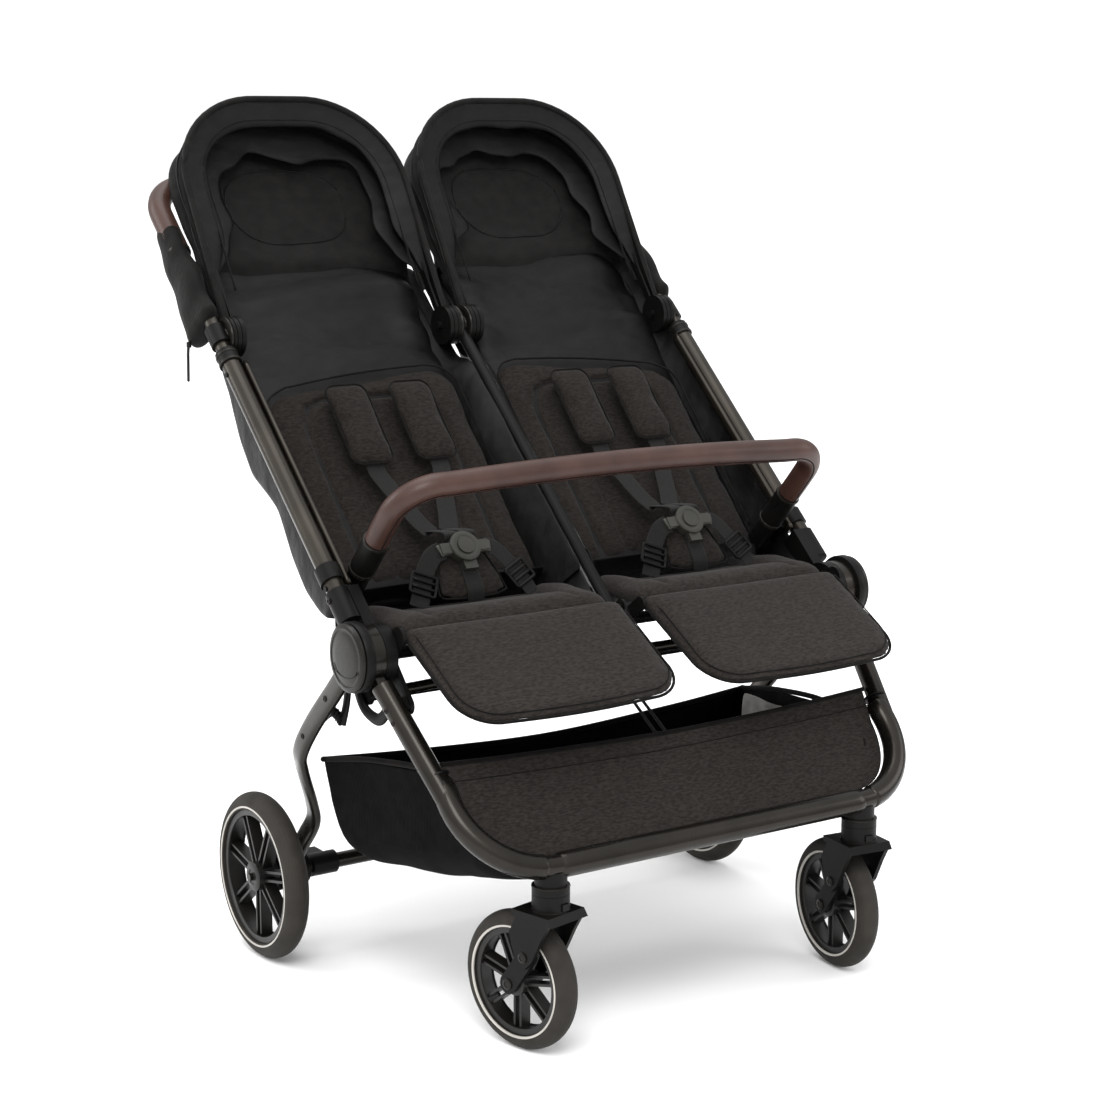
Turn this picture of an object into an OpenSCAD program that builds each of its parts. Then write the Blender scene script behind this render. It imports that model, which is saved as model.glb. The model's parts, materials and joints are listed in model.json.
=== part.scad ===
// Side-by-side double pushchair: two seats, four wheels, one folding frame.
// X runs across the pushchair, +Y points to the back, +Z up. The origin is on the ground,
// under the middle of the whole pushchair.

/* [Frame] */
// Height of the fold hinge axis above the ground
hub_z = 452; // [430:1:470]
// Depth from the caster stems back to the fold hinge axis
hub_depth = 200; // [190:1:210]
// Distance from the middle to each side tube
side_x = 355; // [350:1:360]
// Slope of the upper tubes above level, in degrees
upper_slope = 42.5; // [40:0.5:45]
// Slope of the front frame below level, in degrees
front_slope = 47; // [45:0.5:49]
// Length of the front frame, from the hinge axis to its cross bar
front_len = 302; // [295:1:308]
// Radius of the front frame tube
front_tube_r = 13; // [12:0.5:14]
// Radius of the upper tubes
upper_tube_r = 12; // [11:0.5:12.5]
// Distance from the hinge axis to the handle bar
handle_len = 775; // [760:5:790]
// Distance from the hinge axis to the joint collar of the upper tubes
collar_s = 473; // [465:1:480]

/* [Wheels] */
// Radius of the rear tyres
rear_wheel_r = 108; // [100:1:112]
// Radius of the front tyres
front_wheel_r = 83; // [78:1:86]
// Width of the rear tyres
rear_tyre_w = 32; // [28:1:34]
// Width of the front tyres
front_tyre_w = 30; // [26:1:32]
// Depth from the caster stems back to the rear axle
rear_axle_depth = 481; // [470:1:490]
// Distance from the middle to each caster stem
stem_x = 231.6; // [225:0.1:235]
// Distance that the front axle trails behind its stem
caster_trail = 46; // [42:1:48]
// Rest angle of the left caster about its stem, in degrees
left_turn = 13; // [-20:1:20]
// Rest angle of the right caster about its stem, in degrees
right_turn = -7; // [-20:1:20]

/* [Seats] */
// Distance from the middle to the inner edge of each seat
seat_in = 22; // [20:1:26]
// Distance from the middle to the outer edge of each seat
seat_out = 322; // [316:1:324]
// Distance along the upper tube from the hinge axis to the top of the seat back
back_top = 640; // [620:5:650]
// Length of each calf rest
rest_len = 164; // [150:1:170]
// Slope of the calf rests below level, in degrees
rest_slope = 29; // [25:1:32]

/* [Hoods] */
// Distance along the upper tube from the hinge axis to the hood pivots
hood_s = 504; // [500:1:508]
// Radius of the hood bows about the hood pivots
hood_r = 345; // [335:1:350]
// Half the width of each hood
hood_half_w = 163; // [155:1:163]
// Radius of the upper corners of the hood bows
hood_corner = 150; // [120:1:152]
// Angle of the front bow ahead of the upper tubes, in degrees
hood_rim = 17.5; // [15:0.5:20]

/* [Bumper bar] */
// Distance along the upper tube from the hinge axis to the bar sockets
bar_s = 118; // [115:1:121]
// Distance from the middle to each bar end
bar_x = 313; // [310:1:314]
// Distance of the long run of the bar ahead of the upper tubes
bar_out = 164; // [155:1:170]
// Radius of the padded bar
bar_r = 15; // [14:0.5:16]

/* [Hidden] */
$fn = 48;
stem_y = -378;             // caster stems; puts the origin under the middle of the whole length
hub_y = stem_y + hub_depth;
rear_axle_y = stem_y + rear_axle_depth;

// Running fits: a bore is this much bigger in radius than its pin
fit = 0.05;
gap = 0.4;                 // clear space between faces that pass each other

// Hinge stack at each side, measured outwards from the middle of the pushchair
seat_plate_x = [326, 331.5];
upper_knuckle_x = [332.5, 347.5];
front_knuckle_x = [348.3, 363.5];
rear_knuckle_x = [364.3, 377];
cover_x = [377.3, 382];
knuckle_r = 36;
rear_knuckle_r = 42;
hinge_pin_r = 6;
axle_r = 10;
post_r = 8;
wheel_pin_r = 5;
bar_pin_r = 5;

// Front frame: the legs lean in towards the cross bar
leg_lean = 8;
front_corner = 100;
front_run = side_x + 2 - front_len * tan(leg_lean) - front_corner * tan((90 - leg_lean) / 2);

// Rear legs, from the hinge axis: the upper plate, then a step inwards to the lower plate
rear_leg_top_x = [364.5, 376.8];
rear_leg_foot_x = [313.7, 326.3];
rear_leg_bend = [147, -152];   // where the step starts: back, up
rear_leg_step = [203, -254];   // where the step ends: back, up
rear_leg_foot = [rear_axle_depth - hub_depth, rear_wheel_r - hub_z];
rear_leg_r = 13;

// Handle
handle_tube_r = 10;
handle_corner = 52;
grip_r = 15;
grip_start = 655;

// Casters, measured from the stem axis with the wheel trailing behind
fork_pivot = [16, 124];    // suspension pivot: back from the stem, height
socket_z = [199, 226];
housing_r = 22;
stem_r = 7;
front_axle_r = 4;
fork_pin_r = 4;
arm_x = [18, 24];          // arm plates, each side of the wheel
fork_x = [24.5, 30];       // fork plates, outside the arms

// Hinge line of the calf rests, from the stems
rest_hinge = [168, 476];
rest_rod_r = 4;
leg_lug = [-72 * cos(front_slope), -72 * sin(front_slope)];   // lug on the front leg: back, up
rest_t = 22;

// Harness
pad_s = [282, 408];
pad_w = 52;

// ---------- frames of reference ----------

// Children drawn with Z up the upper tube, -Y to its front, from the fold hinge
module upper(s = 0, out = 0)
  translate([0, hub_y, hub_z]) rotate([upper_slope - 90, 0, 0]) translate([0, -out, s]) children();

// Children drawn with -Z down the front frame and -Y to its front, from the fold hinge
module lower(l = 0, out = 0)
  translate([0, hub_y, hub_z]) rotate([front_slope - 90, 0, 0]) translate([0, -out, -l]) children();

// Both sides of a part that is drawn once, on the +X side
module both() {
  children();
  mirror([1, 0, 0]) children();
}

module at_side(side)
  if (side < 0) mirror([1, 0, 0]) children();
  else children();

// A round rod along X between two places
module rod(x, r)
  translate([x[0], 0, 0]) rotate([0, 90, 0]) cylinder(h = x[1] - x[0], r = r);

// An outline in Y and Z, made as thick as the two X places
module plate(x)
  translate([x[0], 0, 0]) rotate([90, 0, 90]) linear_extrude(x[1] - x[0]) children();

// A bent tube in the XZ plane: an arc about the origin
module arc(radius, from, angle, r)
  rotate([90, 0, 0]) rotate([0, 0, from]) rotate_extrude(angle = angle, $fn = 96)
    translate([radius, 0]) circle(r);

// Outline of a bar with round ends, a hair narrower between them so that its curves stay true
module bar_outline(a, b, r) {
  d = b - a;
  w = r - 0.15;
  translate(a) circle(r);
  translate(b) circle(r);
  translate(a) rotate(atan2(d[1], d[0])) translate([0, -w]) square([norm(d), 2 * w]);
}

module round_rect(size, r) {
  translate([r, 0]) square([size[0] - 2 * r, size[1]]);
  translate([0, r]) square([size[0], size[1] - 2 * r]);
  for (x = [r, size[0] - r], y = [r, size[1] - r]) translate([x, y]) circle(r);
}

// ---------- front frame ----------

module front_tube(r) {
  lower(front_len) rod([-front_run, front_run], r);
  both() lower() {
    translate([front_run, 0, front_corner - front_len]) arc(front_corner, -90, 90 - leg_lean, r);
    leg_end = [front_run + front_corner * cos(leg_lean), front_corner - front_len
      - front_corner * sin(leg_lean)];
    translate([leg_end[0], 0, leg_end[1]]) rotate([0, leg_lean, 0])
      cylinder(h = (-leg_end[1] - 43) / cos(leg_lean), r = r);
  }
}

module front_frame() color([0.16, 0.15, 0.13]) {
  front_tube(front_tube_r);
  both() difference() {
    translate([0, hub_y, hub_z]) union() {
      rod(front_knuckle_x, knuckle_r);
      // neck from the knuckle down into the end of the leg
      rotate([front_slope - 90, 0, 0]) translate([front_knuckle_x[0] + 0.2, -8, -49])
        cube([11.5, 16, 49]);
    }
    translate([0, hub_y, hub_z]) rod([340, 370], hinge_pin_r + fit);
  }
}

module fold_pins() color([0.35, 0.34, 0.32])
  both() translate([0, hub_y, hub_z]) {
    rod([seat_plate_x[0] - 3, rear_knuckle_x[1]], hinge_pin_r);
    rod([seat_plate_x[0] - 3.5, seat_plate_x[0] - gap], 9);
  }

module caster_sockets() color([0.09, 0.09, 0.09])
  difference() {
    both() translate([stem_x, stem_y, 0]) {
      translate([0, 0, socket_z[0]]) cylinder(h = 9, r = housing_r);
      translate([0, 0, socket_z[0] + 9]) cylinder(h = socket_z[1] - socket_z[0] - 9, r = housing_r - 3);
    }
    front_tube(front_tube_r + 0.1);
    both() translate([stem_x, stem_y, 150]) cylinder(h = 70, r = stem_r + fit);
  }

// ---------- seat frame ----------

module seat_plate_outline() {
  // Side plate: hinge eye, calf-rest eye, rear tube eye and the hook that drops to the cross tube
  bar_outline([0, 0], [rest_hinge[0] - hub_depth, rest_hinge[1] - hub_z], 13);
  bar_outline([0, 0], [120, -34], 12);
  bar_outline([60, -18], [44, -62], 10);
  bar_outline([0, 0], leg_lug, 11);
}

module seat_frame() color([0.08, 0.08, 0.08]) {
  rest_y = stem_y + rest_hinge[0];
  both() difference() {
    translate([0, hub_y, hub_z]) plate(seat_plate_x) seat_plate_outline();
    translate([0, hub_y, hub_z]) rod([320, 340], hinge_pin_r + fit);
  }
  // lug from the side plate to the front leg
  both() difference() {
    lower(72) translate([330, -8, -8]) cube([13, 16, 16]);
    front_tube(front_tube_r + 0.1);
  }
  // calf-rest rod, rear tube and the curved cross tube
  both() translate([0, rest_y, rest_hinge[1]]) rod([13, 331], rest_rod_r);
  translate([0, hub_y + 120, hub_z - 34]) rod([-331, 331], 8);
  translate([0, hub_y + 44, hub_z - 62]) rod([-331, 331], 6);
  // centre bracket: two cheeks that carry the foot of the centre post
  both() translate([0, hub_y, hub_z]) plate([12.5, 16]) {
    bar_outline([0, 0], [rest_hinge[0] - hub_depth, rest_hinge[1] - hub_z], 9);
    bar_outline([0, -4], [120, -34], 10);
  }
  translate([0, hub_y, hub_z]) rod([-15, 15], 5);
}

// ---------- basket ----------

// Side outline of the basket, from the stems: [depth, height]
basket_side = [[62, 268], [23, 225], [31, 205], [120, 178], [300, 160], [350, 172], [352, 286],
  [120, 320]];
basket_in = [[66, 264], [29, 226], [35, 209], [122, 182], [299, 164], [346, 175], [348, 300],
  [118, 340]];
basket_half_w = 300;

module basket() color([0.07, 0.07, 0.07])
  translate([0, stem_y, 0]) difference() {
    plate([-basket_half_w, basket_half_w]) polygon(basket_side);
    plate([4 - basket_half_w, basket_half_w - 4]) polygon(basket_in);
  }

module basket_front_panel() color([0.22, 0.2, 0.19])
  intersection() {
    lower() translate([-330, 3, -front_len + front_tube_r + 2]) cube([660, 4, 134]);
    lower() rotate([90, 0, 0]) linear_extrude(60, center = true)
      polygon([[-300, -150], [300, -150], [292, -230], [252, -284], [-252, -284], [-292, -230]]);
  }

// ---------- seats ----------

module seat_cushions() color([0.2, 0.19, 0.18])
  both() translate([0, stem_y, 0]) plate([seat_in, seat_out])
    polygon([[181, 490], [200, 493], [309, 478.7], [329, 456], [329, 426.4], [311, 426.4],
      [290, 441], [190, 466], [181, 474]]);

seat_mid = (seat_in + seat_out) / 2;

module crotch_pads() color([0.18, 0.17, 0.16])
  both() translate([seat_mid, stem_y + 258, 487]) rotate([-38, 0, 0]) {
    translate([0, 0, 6]) rotate([90, 0, 0]) linear_extrude(12)
      polygon([[-48, 0], [48, 0], [34, 58], [-34, 58]]);
  }

// Frame of the buckle: Y faces out of the seat, Z up along the crotch pad
module at_buckle(side)
  at_side(side) translate([seat_mid, stem_y + 258, 487]) rotate([-38, 0, 0])
    translate([0, -14, 62]) children();

module buckles() color([0.25, 0.25, 0.22])
  for (side = [-1, 1]) at_buckle(side) rotate([90, 0, 0]) difference() {
    union() {
      cylinder(h = 12, r = 20);
      translate([-34, -7, 1]) cube([68, 14, 9]);
      translate([-9, -30, 1]) cube([18, 20, 8]);
    }
    translate([0, 0, 6]) cylinder(h = 10, r = 11.3);
  }

module buckle_button(side) color([0.3, 0.3, 0.26])
  at_buckle(side) rotate([90, 0, 0]) translate([0, 0, 9]) cylinder(h = 5, r = 11);

module buckle_button_left() buckle_button(-1);
module buckle_button_right() buckle_button(1);

// Seat back outline beside the upper tube: [distance ahead of the tube, distance along it]
module seat_back(side) color([0.2, 0.19, 0.18])
  at_side(side) upper() plate([seat_in + 8, seat_out]) {
    polygon([[55, 106], [20, 460], [10, back_top], [34, back_top], [72, 460], [88, 260],
      [88, 113], [79, 104]]);
    // rolled lower edge, the line that the back reclines about
    translate([80, 112]) circle(10);
  }

module seat_back_left() seat_back(-1);
module seat_back_right() seat_back(1);

module shoulder_pads(side) color([0.17, 0.16, 0.15])
  at_side(side) for (across = [-1, 1]) upper()
    translate([seat_mid + across * 42 - pad_w / 2, 36, pad_s[0]]) rotate([95.6, 0, 0])
      linear_extrude(16) round_rect([pad_w, pad_s[1] - pad_s[0]], 14);

module shoulder_pads_left() shoulder_pads(-1);
module shoulder_pads_right() shoulder_pads(1);

module calf_rest(side) color([0.22, 0.2, 0.19])
  at_side(side) translate([0, stem_y + rest_hinge[0], rest_hinge[1]]) difference() {
    rotate([rest_slope, 0, 0]) union() {
      rod([18, seat_out + 2], rest_t / 2);
      translate([0, 0, -rest_t / 2]) intersection() {
        linear_extrude(rest_t) {
          translate([12, 46 - rest_len]) square([seat_out - 6, rest_len - 46 - 14]);
          translate([12, -rest_len]) round_rect([seat_out - 6, 100], 46);
          translate([18, -20]) square([seat_out - 16, 20]);
        }
        // the underside rises to a thin front edge
        plate([0, 340]) polygon([[0, 0], [0, rest_t], [-rest_len, rest_t], [-rest_len, 11]]);
      }
    }
    rod([0, 340], rest_rod_r + fit);
  }

module calf_rest_left() calf_rest(-1);
module calf_rest_right() calf_rest(1);

// ---------- rear legs ----------

// Flat bar between two points, each [across, back, up], as thick as t across and w wide
module flat_bar(a, b, t, w) {
  d = b - a;
  translate(a) rotate([atan2(-d[1], d[2]), 0, 0]) rotate([0, asin(d[0] / norm(d)), 0])
    translate([-t / 2, -w / 2, 0]) cube([t, w, norm(d)]);
}

module rear_legs() color([0.16, 0.15, 0.13]) both() translate([0, hub_y, hub_z]) {
  difference() {
    union() {
      rod(rear_knuckle_x, rear_knuckle_r);
      plate(rear_leg_top_x) {
        bar_outline([0, 0], [105, -102], rear_leg_r);
        bar_outline([105, -102], rear_leg_bend, rear_leg_r - 0.2);
      }
    }
    rod([360, 380], hinge_pin_r + fit);
  }
  flat_bar([370.6, rear_leg_bend[0], rear_leg_bend[1]], [320, rear_leg_step[0], rear_leg_step[1]],
    11, 19);
  difference() {
    plate(rear_leg_foot_x) bar_outline(rear_leg_step, rear_leg_foot, rear_leg_r);
    translate([0, rear_leg_foot[0], rear_leg_foot[1]]) rod([300, 340], wheel_pin_r + fit);
  }
}

module hub_covers() color([0.2, 0.19, 0.18])
  both() translate([0, hub_y, hub_z]) rod(cover_x, 41);

module rear_axle() color([0.1, 0.1, 0.1]) {
  translate([0, rear_axle_y, rear_wheel_r]) {
    rod([-310, 310], axle_r);
    both() rod([310, 376], wheel_pin_r);
  }
}

module brake_housings() color([0.08, 0.08, 0.08])
  both() translate([0, rear_axle_y, rear_wheel_r]) difference() {
    union() {
      rod([296, 311.5], 20);
      rod([328.5, 337], 24);
    }
    rod([290, 340], axle_r + 0.1);
  }

module brake_pedal() color([0.12, 0.12, 0.12])
  translate([-270, rear_axle_y, rear_wheel_r]) difference() {
    union() {
      rod([-18, 18], 15);
      translate([-18, 8, -4]) cube([36, 46, 9]);
    }
    rod([-20, 20], axle_r + fit);
  }

// ---------- wheels ----------

// A wheel drawn about X: the tyre, and a rim with seven double spokes
module tyre(r, w, rim_r) color([0.11, 0.1, 0.09])
  rotate([0, 90, 0]) rotate_extrude($fn = 96) intersection() {
    translate([rim_r, -w / 2]) square([r - rim_r, w]);
    union() {
      translate([r - w / 2, 0]) circle(w / 2);
      translate([rim_r, -w / 2 + 4]) square([r - rim_r - w / 2, w - 8]);
    }
  }

module rim(r, w, hub_r, bore) color([0.13, 0.12, 0.11])
  rotate([0, 90, 0]) difference() {
    union() {
      difference() {
        cylinder(h = w - 8, r = r - 0.2, center = true);
        cylinder(h = w, r = r - 7, center = true);
      }
      cylinder(h = w - 3, r = hub_r, center = true);
      for (i = [0 : 6], across = [-1, 1]) rotate([0, 0, i * 360 / 7])
        translate([hub_r - 3, across * hub_r * 0.29 - 1.6, -w / 4]) cube([r - hub_r - 1, 3.2, w / 2]);
    }
    cylinder(h = w + 10, r = bore, center = true);
  }

module at_rear_wheel(side) translate([side * side_x, rear_axle_y, rear_wheel_r]) children();

module tyre_rear_left() at_rear_wheel(-1) tyre(rear_wheel_r, rear_tyre_w, rear_wheel_r - 21);
module tyre_rear_right() at_rear_wheel(1) tyre(rear_wheel_r, rear_tyre_w, rear_wheel_r - 21);
module rim_rear_left() at_rear_wheel(-1) rim(rear_wheel_r - 21, rear_tyre_w, 19, wheel_pin_r + fit);
module rim_rear_right() at_rear_wheel(1) rim(rear_wheel_r - 21, rear_tyre_w, 19, wheel_pin_r + fit);

// ---------- casters ----------

// Children drawn from the foot of the stem axis on the ground, with the wheel trailing to +Y
module caster(side)
  translate([side * stem_x, stem_y, 0]) rotate([0, 0, side < 0 ? left_turn : right_turn]) children();

module caster_fork(side) color([0.1, 0.1, 0.09])
  caster(side) difference() {
    union() {
      translate([0, 0, 172]) cylinder(h = socket_z[0] - 172 - gap, r = housing_r);
      translate([0, 0, 190]) cylinder(h = 25, r = stem_r);
      // crown over the wheel, with its front lip
      plate([-fork_x[1], fork_x[1]]) polygon([[-30, 170], [-24, 179], [34, 179], [34, 171.5], [0, 170.5]]);
      for (s = [-1, 1]) at_side(s) plate(fork_x)
        polygon([[-25, 172], [24, 176], [38, 150], [28, 118], [14, 110], [2, 122], [-12, 150]]);
    }
    for (s = [-1, 1]) at_side(s) translate([0, fork_pivot[0], fork_pivot[1]])
      rod([20, 40], fork_pin_r + fit);
    // slot for the swivel lock
    translate([0, -housing_r, 186]) cube([11.4, 18, 8.4], center = true);
  }

module caster_arm(side) color([0.12, 0.12, 0.11])
  caster(side) for (s = [-1, 1]) at_side(s) {
    difference() {
      plate(arm_x) bar_outline(fork_pivot, [caster_trail, front_wheel_r], 12);
      translate([0, caster_trail, front_wheel_r]) rod([10, 30], front_axle_r);
    }
    translate([0, fork_pivot[0], fork_pivot[1]]) rod([arm_x[1], fork_x[1] + 1], fork_pin_r);
    translate([0, caster_trail, front_wheel_r]) rod([0, arm_x[1]], front_axle_r);
  }

module swivel_lock(side) color([0.2, 0.2, 0.19])
  caster(side) translate([0, -housing_r + 1.5, 186]) cube([10.8, 7, 7.8], center = true);

module at_front_wheel(side) caster(side) translate([0, caster_trail, front_wheel_r]) children();

module caster_fork_left() caster_fork(-1);
module caster_fork_right() caster_fork(1);
module caster_arm_left() caster_arm(-1);
module caster_arm_right() caster_arm(1);
module swivel_lock_left() swivel_lock(-1);
module swivel_lock_right() swivel_lock(1);
module tyre_front_left() at_front_wheel(-1) tyre(front_wheel_r, front_tyre_w, front_wheel_r - 18);
module tyre_front_right() at_front_wheel(1) tyre(front_wheel_r, front_tyre_w, front_wheel_r - 18);
module rim_front_left()
  at_front_wheel(-1) rim(front_wheel_r - 18, front_tyre_w, 16.5, front_axle_r + fit);
module rim_front_right()
  at_front_wheel(1) rim(front_wheel_r - 18, front_tyre_w, 16.5, front_axle_r + fit);

// ---------- upper frame ----------

module upper_tubes() color([0.16, 0.15, 0.13])
  both() upper(64) translate([side_x, 0, 0]) difference() {
    cylinder(h = collar_s - 64, r = upper_tube_r);
    translate([0, 0, collar_s - 64 - 60]) cylinder(h = 70, r = handle_tube_r + 0.1);
  }

module upper_brackets() color([0.1, 0.1, 0.1])
  both() difference() {
    union() {
      translate([0, hub_y, hub_z]) rod(upper_knuckle_x, knuckle_r);
      upper() translate([upper_knuckle_x[0], -14, 0]) cube([15, 28, 92]);
      upper(47) translate([side_x, 0, 0]) cylinder(h = 45, r = upper_tube_r + 3);
      // clamp and lug of the bumper bar's pin, behind the tube
      upper(bar_s - 11) translate([side_x, 0, 0]) cylinder(h = 22, r = upper_tube_r + 3);
      upper(bar_s - 11) translate([330.5, 0, 0]) cube([15, 31, 22]);
      upper(bar_s, -20) rod([300, 332], bar_pin_r);
    }
    translate([0, hub_y, hub_z]) rod([330, 350], hinge_pin_r + fit);
    upper(63.5) translate([side_x, 0, 0]) cylinder(h = 80, r = upper_tube_r + 0.1);
  }

module tube_collars() color([0.07, 0.07, 0.07])
  both() upper() translate([side_x, 0, 0]) {
    difference() {
      translate([0, 0, collar_s - 16]) cylinder(h = 20, r = upper_tube_r + 2);
      translate([0, 0, collar_s - 17]) cylinder(h = 17, r = upper_tube_r + 0.1);
      cylinder(h = 600, r = handle_tube_r + 0.1);
    }
    // snap pins below the collars
    for (s = [collar_s - 32, 100]) translate([0, 0, s]) rotate([0, 90, 0])
      translate([0, 0, upper_tube_r]) cylinder(h = 1.6, r = 3.4);
  }

// The handle's bent tube, solid or as wide as a sleeve round it, from a distance along the tube
module handle_shape(r, from) {
  both() upper() {
    translate([side_x, 0, from]) cylinder(h = handle_len - handle_corner - from, r = r);
    translate([side_x - handle_corner, 0, handle_len - handle_corner]) arc(handle_corner, 0, 90, r);
  }
  upper(handle_len) rod([handle_corner - side_x, side_x - handle_corner], r);
}

module handle_tube() color([0.16, 0.15, 0.13]) handle_shape(handle_tube_r, collar_s - 50);

module handle_grip() color([0.25, 0.18, 0.16]) difference() {
  handle_shape(grip_r, grip_start);
  handle_shape(handle_tube_r + 0.1, grip_start - 10);
  upper(handle_len) rod([-41, 41], grip_r + 1);
}

module release_housing() color([0.08, 0.08, 0.08])
  upper(handle_len) difference() {
    rod([-40, 40], 17);
    rod([-50, 50], handle_tube_r + 0.1);
    translate([-22.4, -8.4, -30]) cube([44.8, 16.8, 19.5]);
  }

module fold_trigger() color([0.15, 0.15, 0.14])
  upper(handle_len) translate([-22, -8, -23]) cube([44, 16, 8]);

module centre_post() color([0.1, 0.1, 0.1]) {
  difference() {
    union() {
      translate([0, hub_y, hub_z]) rod([-12, 12], 17);
      upper() cylinder(h = hood_s + hood_disc_r, r = post_r);
    }
    translate([0, hub_y, hub_z]) rod([-20, 20], 5 + fit);
  }
}

// ---------- hoods ----------

hood_mid_x = 177;
hood_disc_r = 26;
hood_pin_r = 5;
// Hub discs of one hood, measured both ways from its middle, from the inside out
hood_mid_disc = [150.5, 156];
hood_front_disc = [157, 162.5];
hood_mount_disc = [163.5, 167.5];
// How far each nested layer lies inside the outermost one
front_bow_inset = 2.4;
mid_fabric_inset = 5.8;
mid_bow_inset = 8.2;
rear_fabric_inset = 14;

// Children drawn about the hood pivot of one side, with the pivot line along X and the hood's
// middle at X = 0, Y along the upper tube and Z ahead of it
module hood(side)
  upper(hood_s) translate([side * hood_mid_x, 0, 0]) rotate([90, 0, 0]) children();

// Outline of an arch: X is the distance from the pivot line, Y the place across the hood
module arch(r, half_w, corner, foot)
  intersection() {
    translate([foot, -half_w]) square([r - foot, 2 * half_w]);
    union() {
      translate([0, -half_w]) square([r - corner, 2 * half_w]);
      translate([0, corner - half_w]) square([r, 2 * (half_w - corner)]);
      for (s = [-1, 1]) translate([r - corner, s * (half_w - corner)]) circle(corner, $fn = 96);
    }
  }

module arch_ring(r, half_w, t, foot)
  difference() {
    arch(r, half_w, hood_corner, foot);
    arch(r - t, half_w - t, hood_corner - t, foot - 1);
  }

// A shell swept about the pivot line, between two angles ahead of the upper tube
module hood_shell(inset, t, from, to)
  rotate([from, 0, 0]) rotate([90, 0, 90]) rotate_extrude(angle = to - from, $fn = 96)
    arch_ring(hood_r - inset, hood_half_w - inset, t, 60);

// A flat bow with its two hub discs
module hood_bow(inset, angle, disc)
  rotate([angle, 0, 0]) difference() {
    union() {
      translate([0, 0, -5]) rotate([0, 0, 90]) linear_extrude(10)
        arch_ring(hood_r - inset, hood_half_w - inset, 3, 0);
      both() rod(disc, hood_disc_r);
    }
    both() rod([130, 170], hood_pin_r + fit);
  }

module hood_mounts() color([0.08, 0.08, 0.08]) {
  both() upper(hood_s) {
    // outer mount, clamped round the tube
    difference() {
      union() {
        rod(hood_mount_disc + [hood_mid_x, hood_mid_x], hood_disc_r);
        translate([side_x, 0, -14]) cylinder(h = 28, r = handle_tube_r + 3.5);
      }
      translate([side_x, 0, -30]) cylinder(h = 60, r = handle_tube_r + 0.1);
    }
    rod([hood_mid_x + hood_mid_disc[0] - 6, hood_mid_x + hood_mount_disc[0] + 1], hood_pin_r);
    // inner mount on the centre post
    difference() {
      rod([hood_mid_x - hood_mount_disc[1] - 1, hood_mid_x - hood_mount_disc[0]], hood_disc_r);
      cylinder(h = 80, r = post_r + 0.1, center = true);
    }
    rod([hood_mid_x - hood_mount_disc[0] - 1, hood_mid_x - hood_mid_disc[0] + 6], hood_pin_r);
  }
}

module hood_rear_fabric() color([0.08, 0.08, 0.08])
  for (side = [-1, 1]) hood(side) hood_shell(rear_fabric_inset, 3, 5, hood_rim - 8.5);

module hood_front_bow(side) color([0.07, 0.07, 0.07]) 
  hood(side) hood_bow(front_bow_inset, hood_rim - 2, hood_front_disc);
module hood_front_fabric(side) color([0.09, 0.09, 0.09])
  hood(side) hood_shell(0, 2, hood_rim - 3.5, hood_rim);
module hood_mid_bow(side) color([0.07, 0.07, 0.07]) 
  hood(side) hood_bow(mid_bow_inset, hood_rim - 6, hood_mid_disc);
module hood_mid_fabric(side) color([0.09, 0.09, 0.09])
  hood(side) hood_shell(mid_fabric_inset, 2, hood_rim - 7.5, hood_rim - 4);

module hood_front_bow_left() hood_front_bow(-1);
module hood_front_bow_right() hood_front_bow(1);
module hood_front_fabric_left() hood_front_fabric(-1);
module hood_front_fabric_right() hood_front_fabric(1);
module hood_mid_bow_left() hood_mid_bow(-1);
module hood_mid_bow_right() hood_mid_bow(1);
module hood_mid_fabric_left() hood_mid_fabric(-1);
module hood_mid_fabric_right() hood_mid_fabric(1);

// ---------- bumper bar ----------

bar_corner = 48;
collar_out = [2, 58];       // the end collars, ahead of the upper tubes

// Children drawn in the bar's plane: X across, Z ahead of the upper tubes
module bar_plane() upper(bar_s) rotate([90, 0, 0]) children();

module bumper_bar() color([0.25, 0.18, 0.16]) bar_plane() {
  translate([0, 0, bar_out]) rod([bar_corner - bar_x, bar_x - bar_corner], bar_r);
  both() {
    translate([bar_x - bar_corner, 0, bar_out - bar_corner]) arc(bar_corner, 0, 90, bar_r);
    translate([bar_x, 0, collar_out[1] + 0.2])
      cylinder(h = bar_out - bar_corner - collar_out[1] - 0.2, r = bar_r);
  }
}

module bar_collars() color([0.08, 0.08, 0.08])
  both() bar_plane() translate([bar_x, 0, 0]) difference() {
    translate([0, 0, collar_out[0]]) cylinder(h = collar_out[1] - collar_out[0], r = 16);
    translate([0, 0, collar_out[0] - 1]) cylinder(h = 35, r = 10.5 + fit);
    translate([-20, -5.3, 40]) cube([15, 10.6, 10.6]);
  }

module bar_sockets() color([0.07, 0.07, 0.07])
  both() bar_plane() translate([bar_x, 0, 0]) difference() {
    union() {
      translate([0, 0, -34]) cylinder(h = 64, r = 10.5);
      translate([0, 0, -34]) cylinder(h = 34, r = 14);
    }
    translate([0, 0, -20]) rod([-30, 30], bar_pin_r + fit);
  }

module bar_button(side) color([0.18, 0.18, 0.17])
  at_side(side) bar_plane() translate([bar_x - 17, -5, 40.3]) cube([7, 10, 10]);

module bar_button_left() bar_button(-1);
module bar_button_right() bar_button(1);

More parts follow.
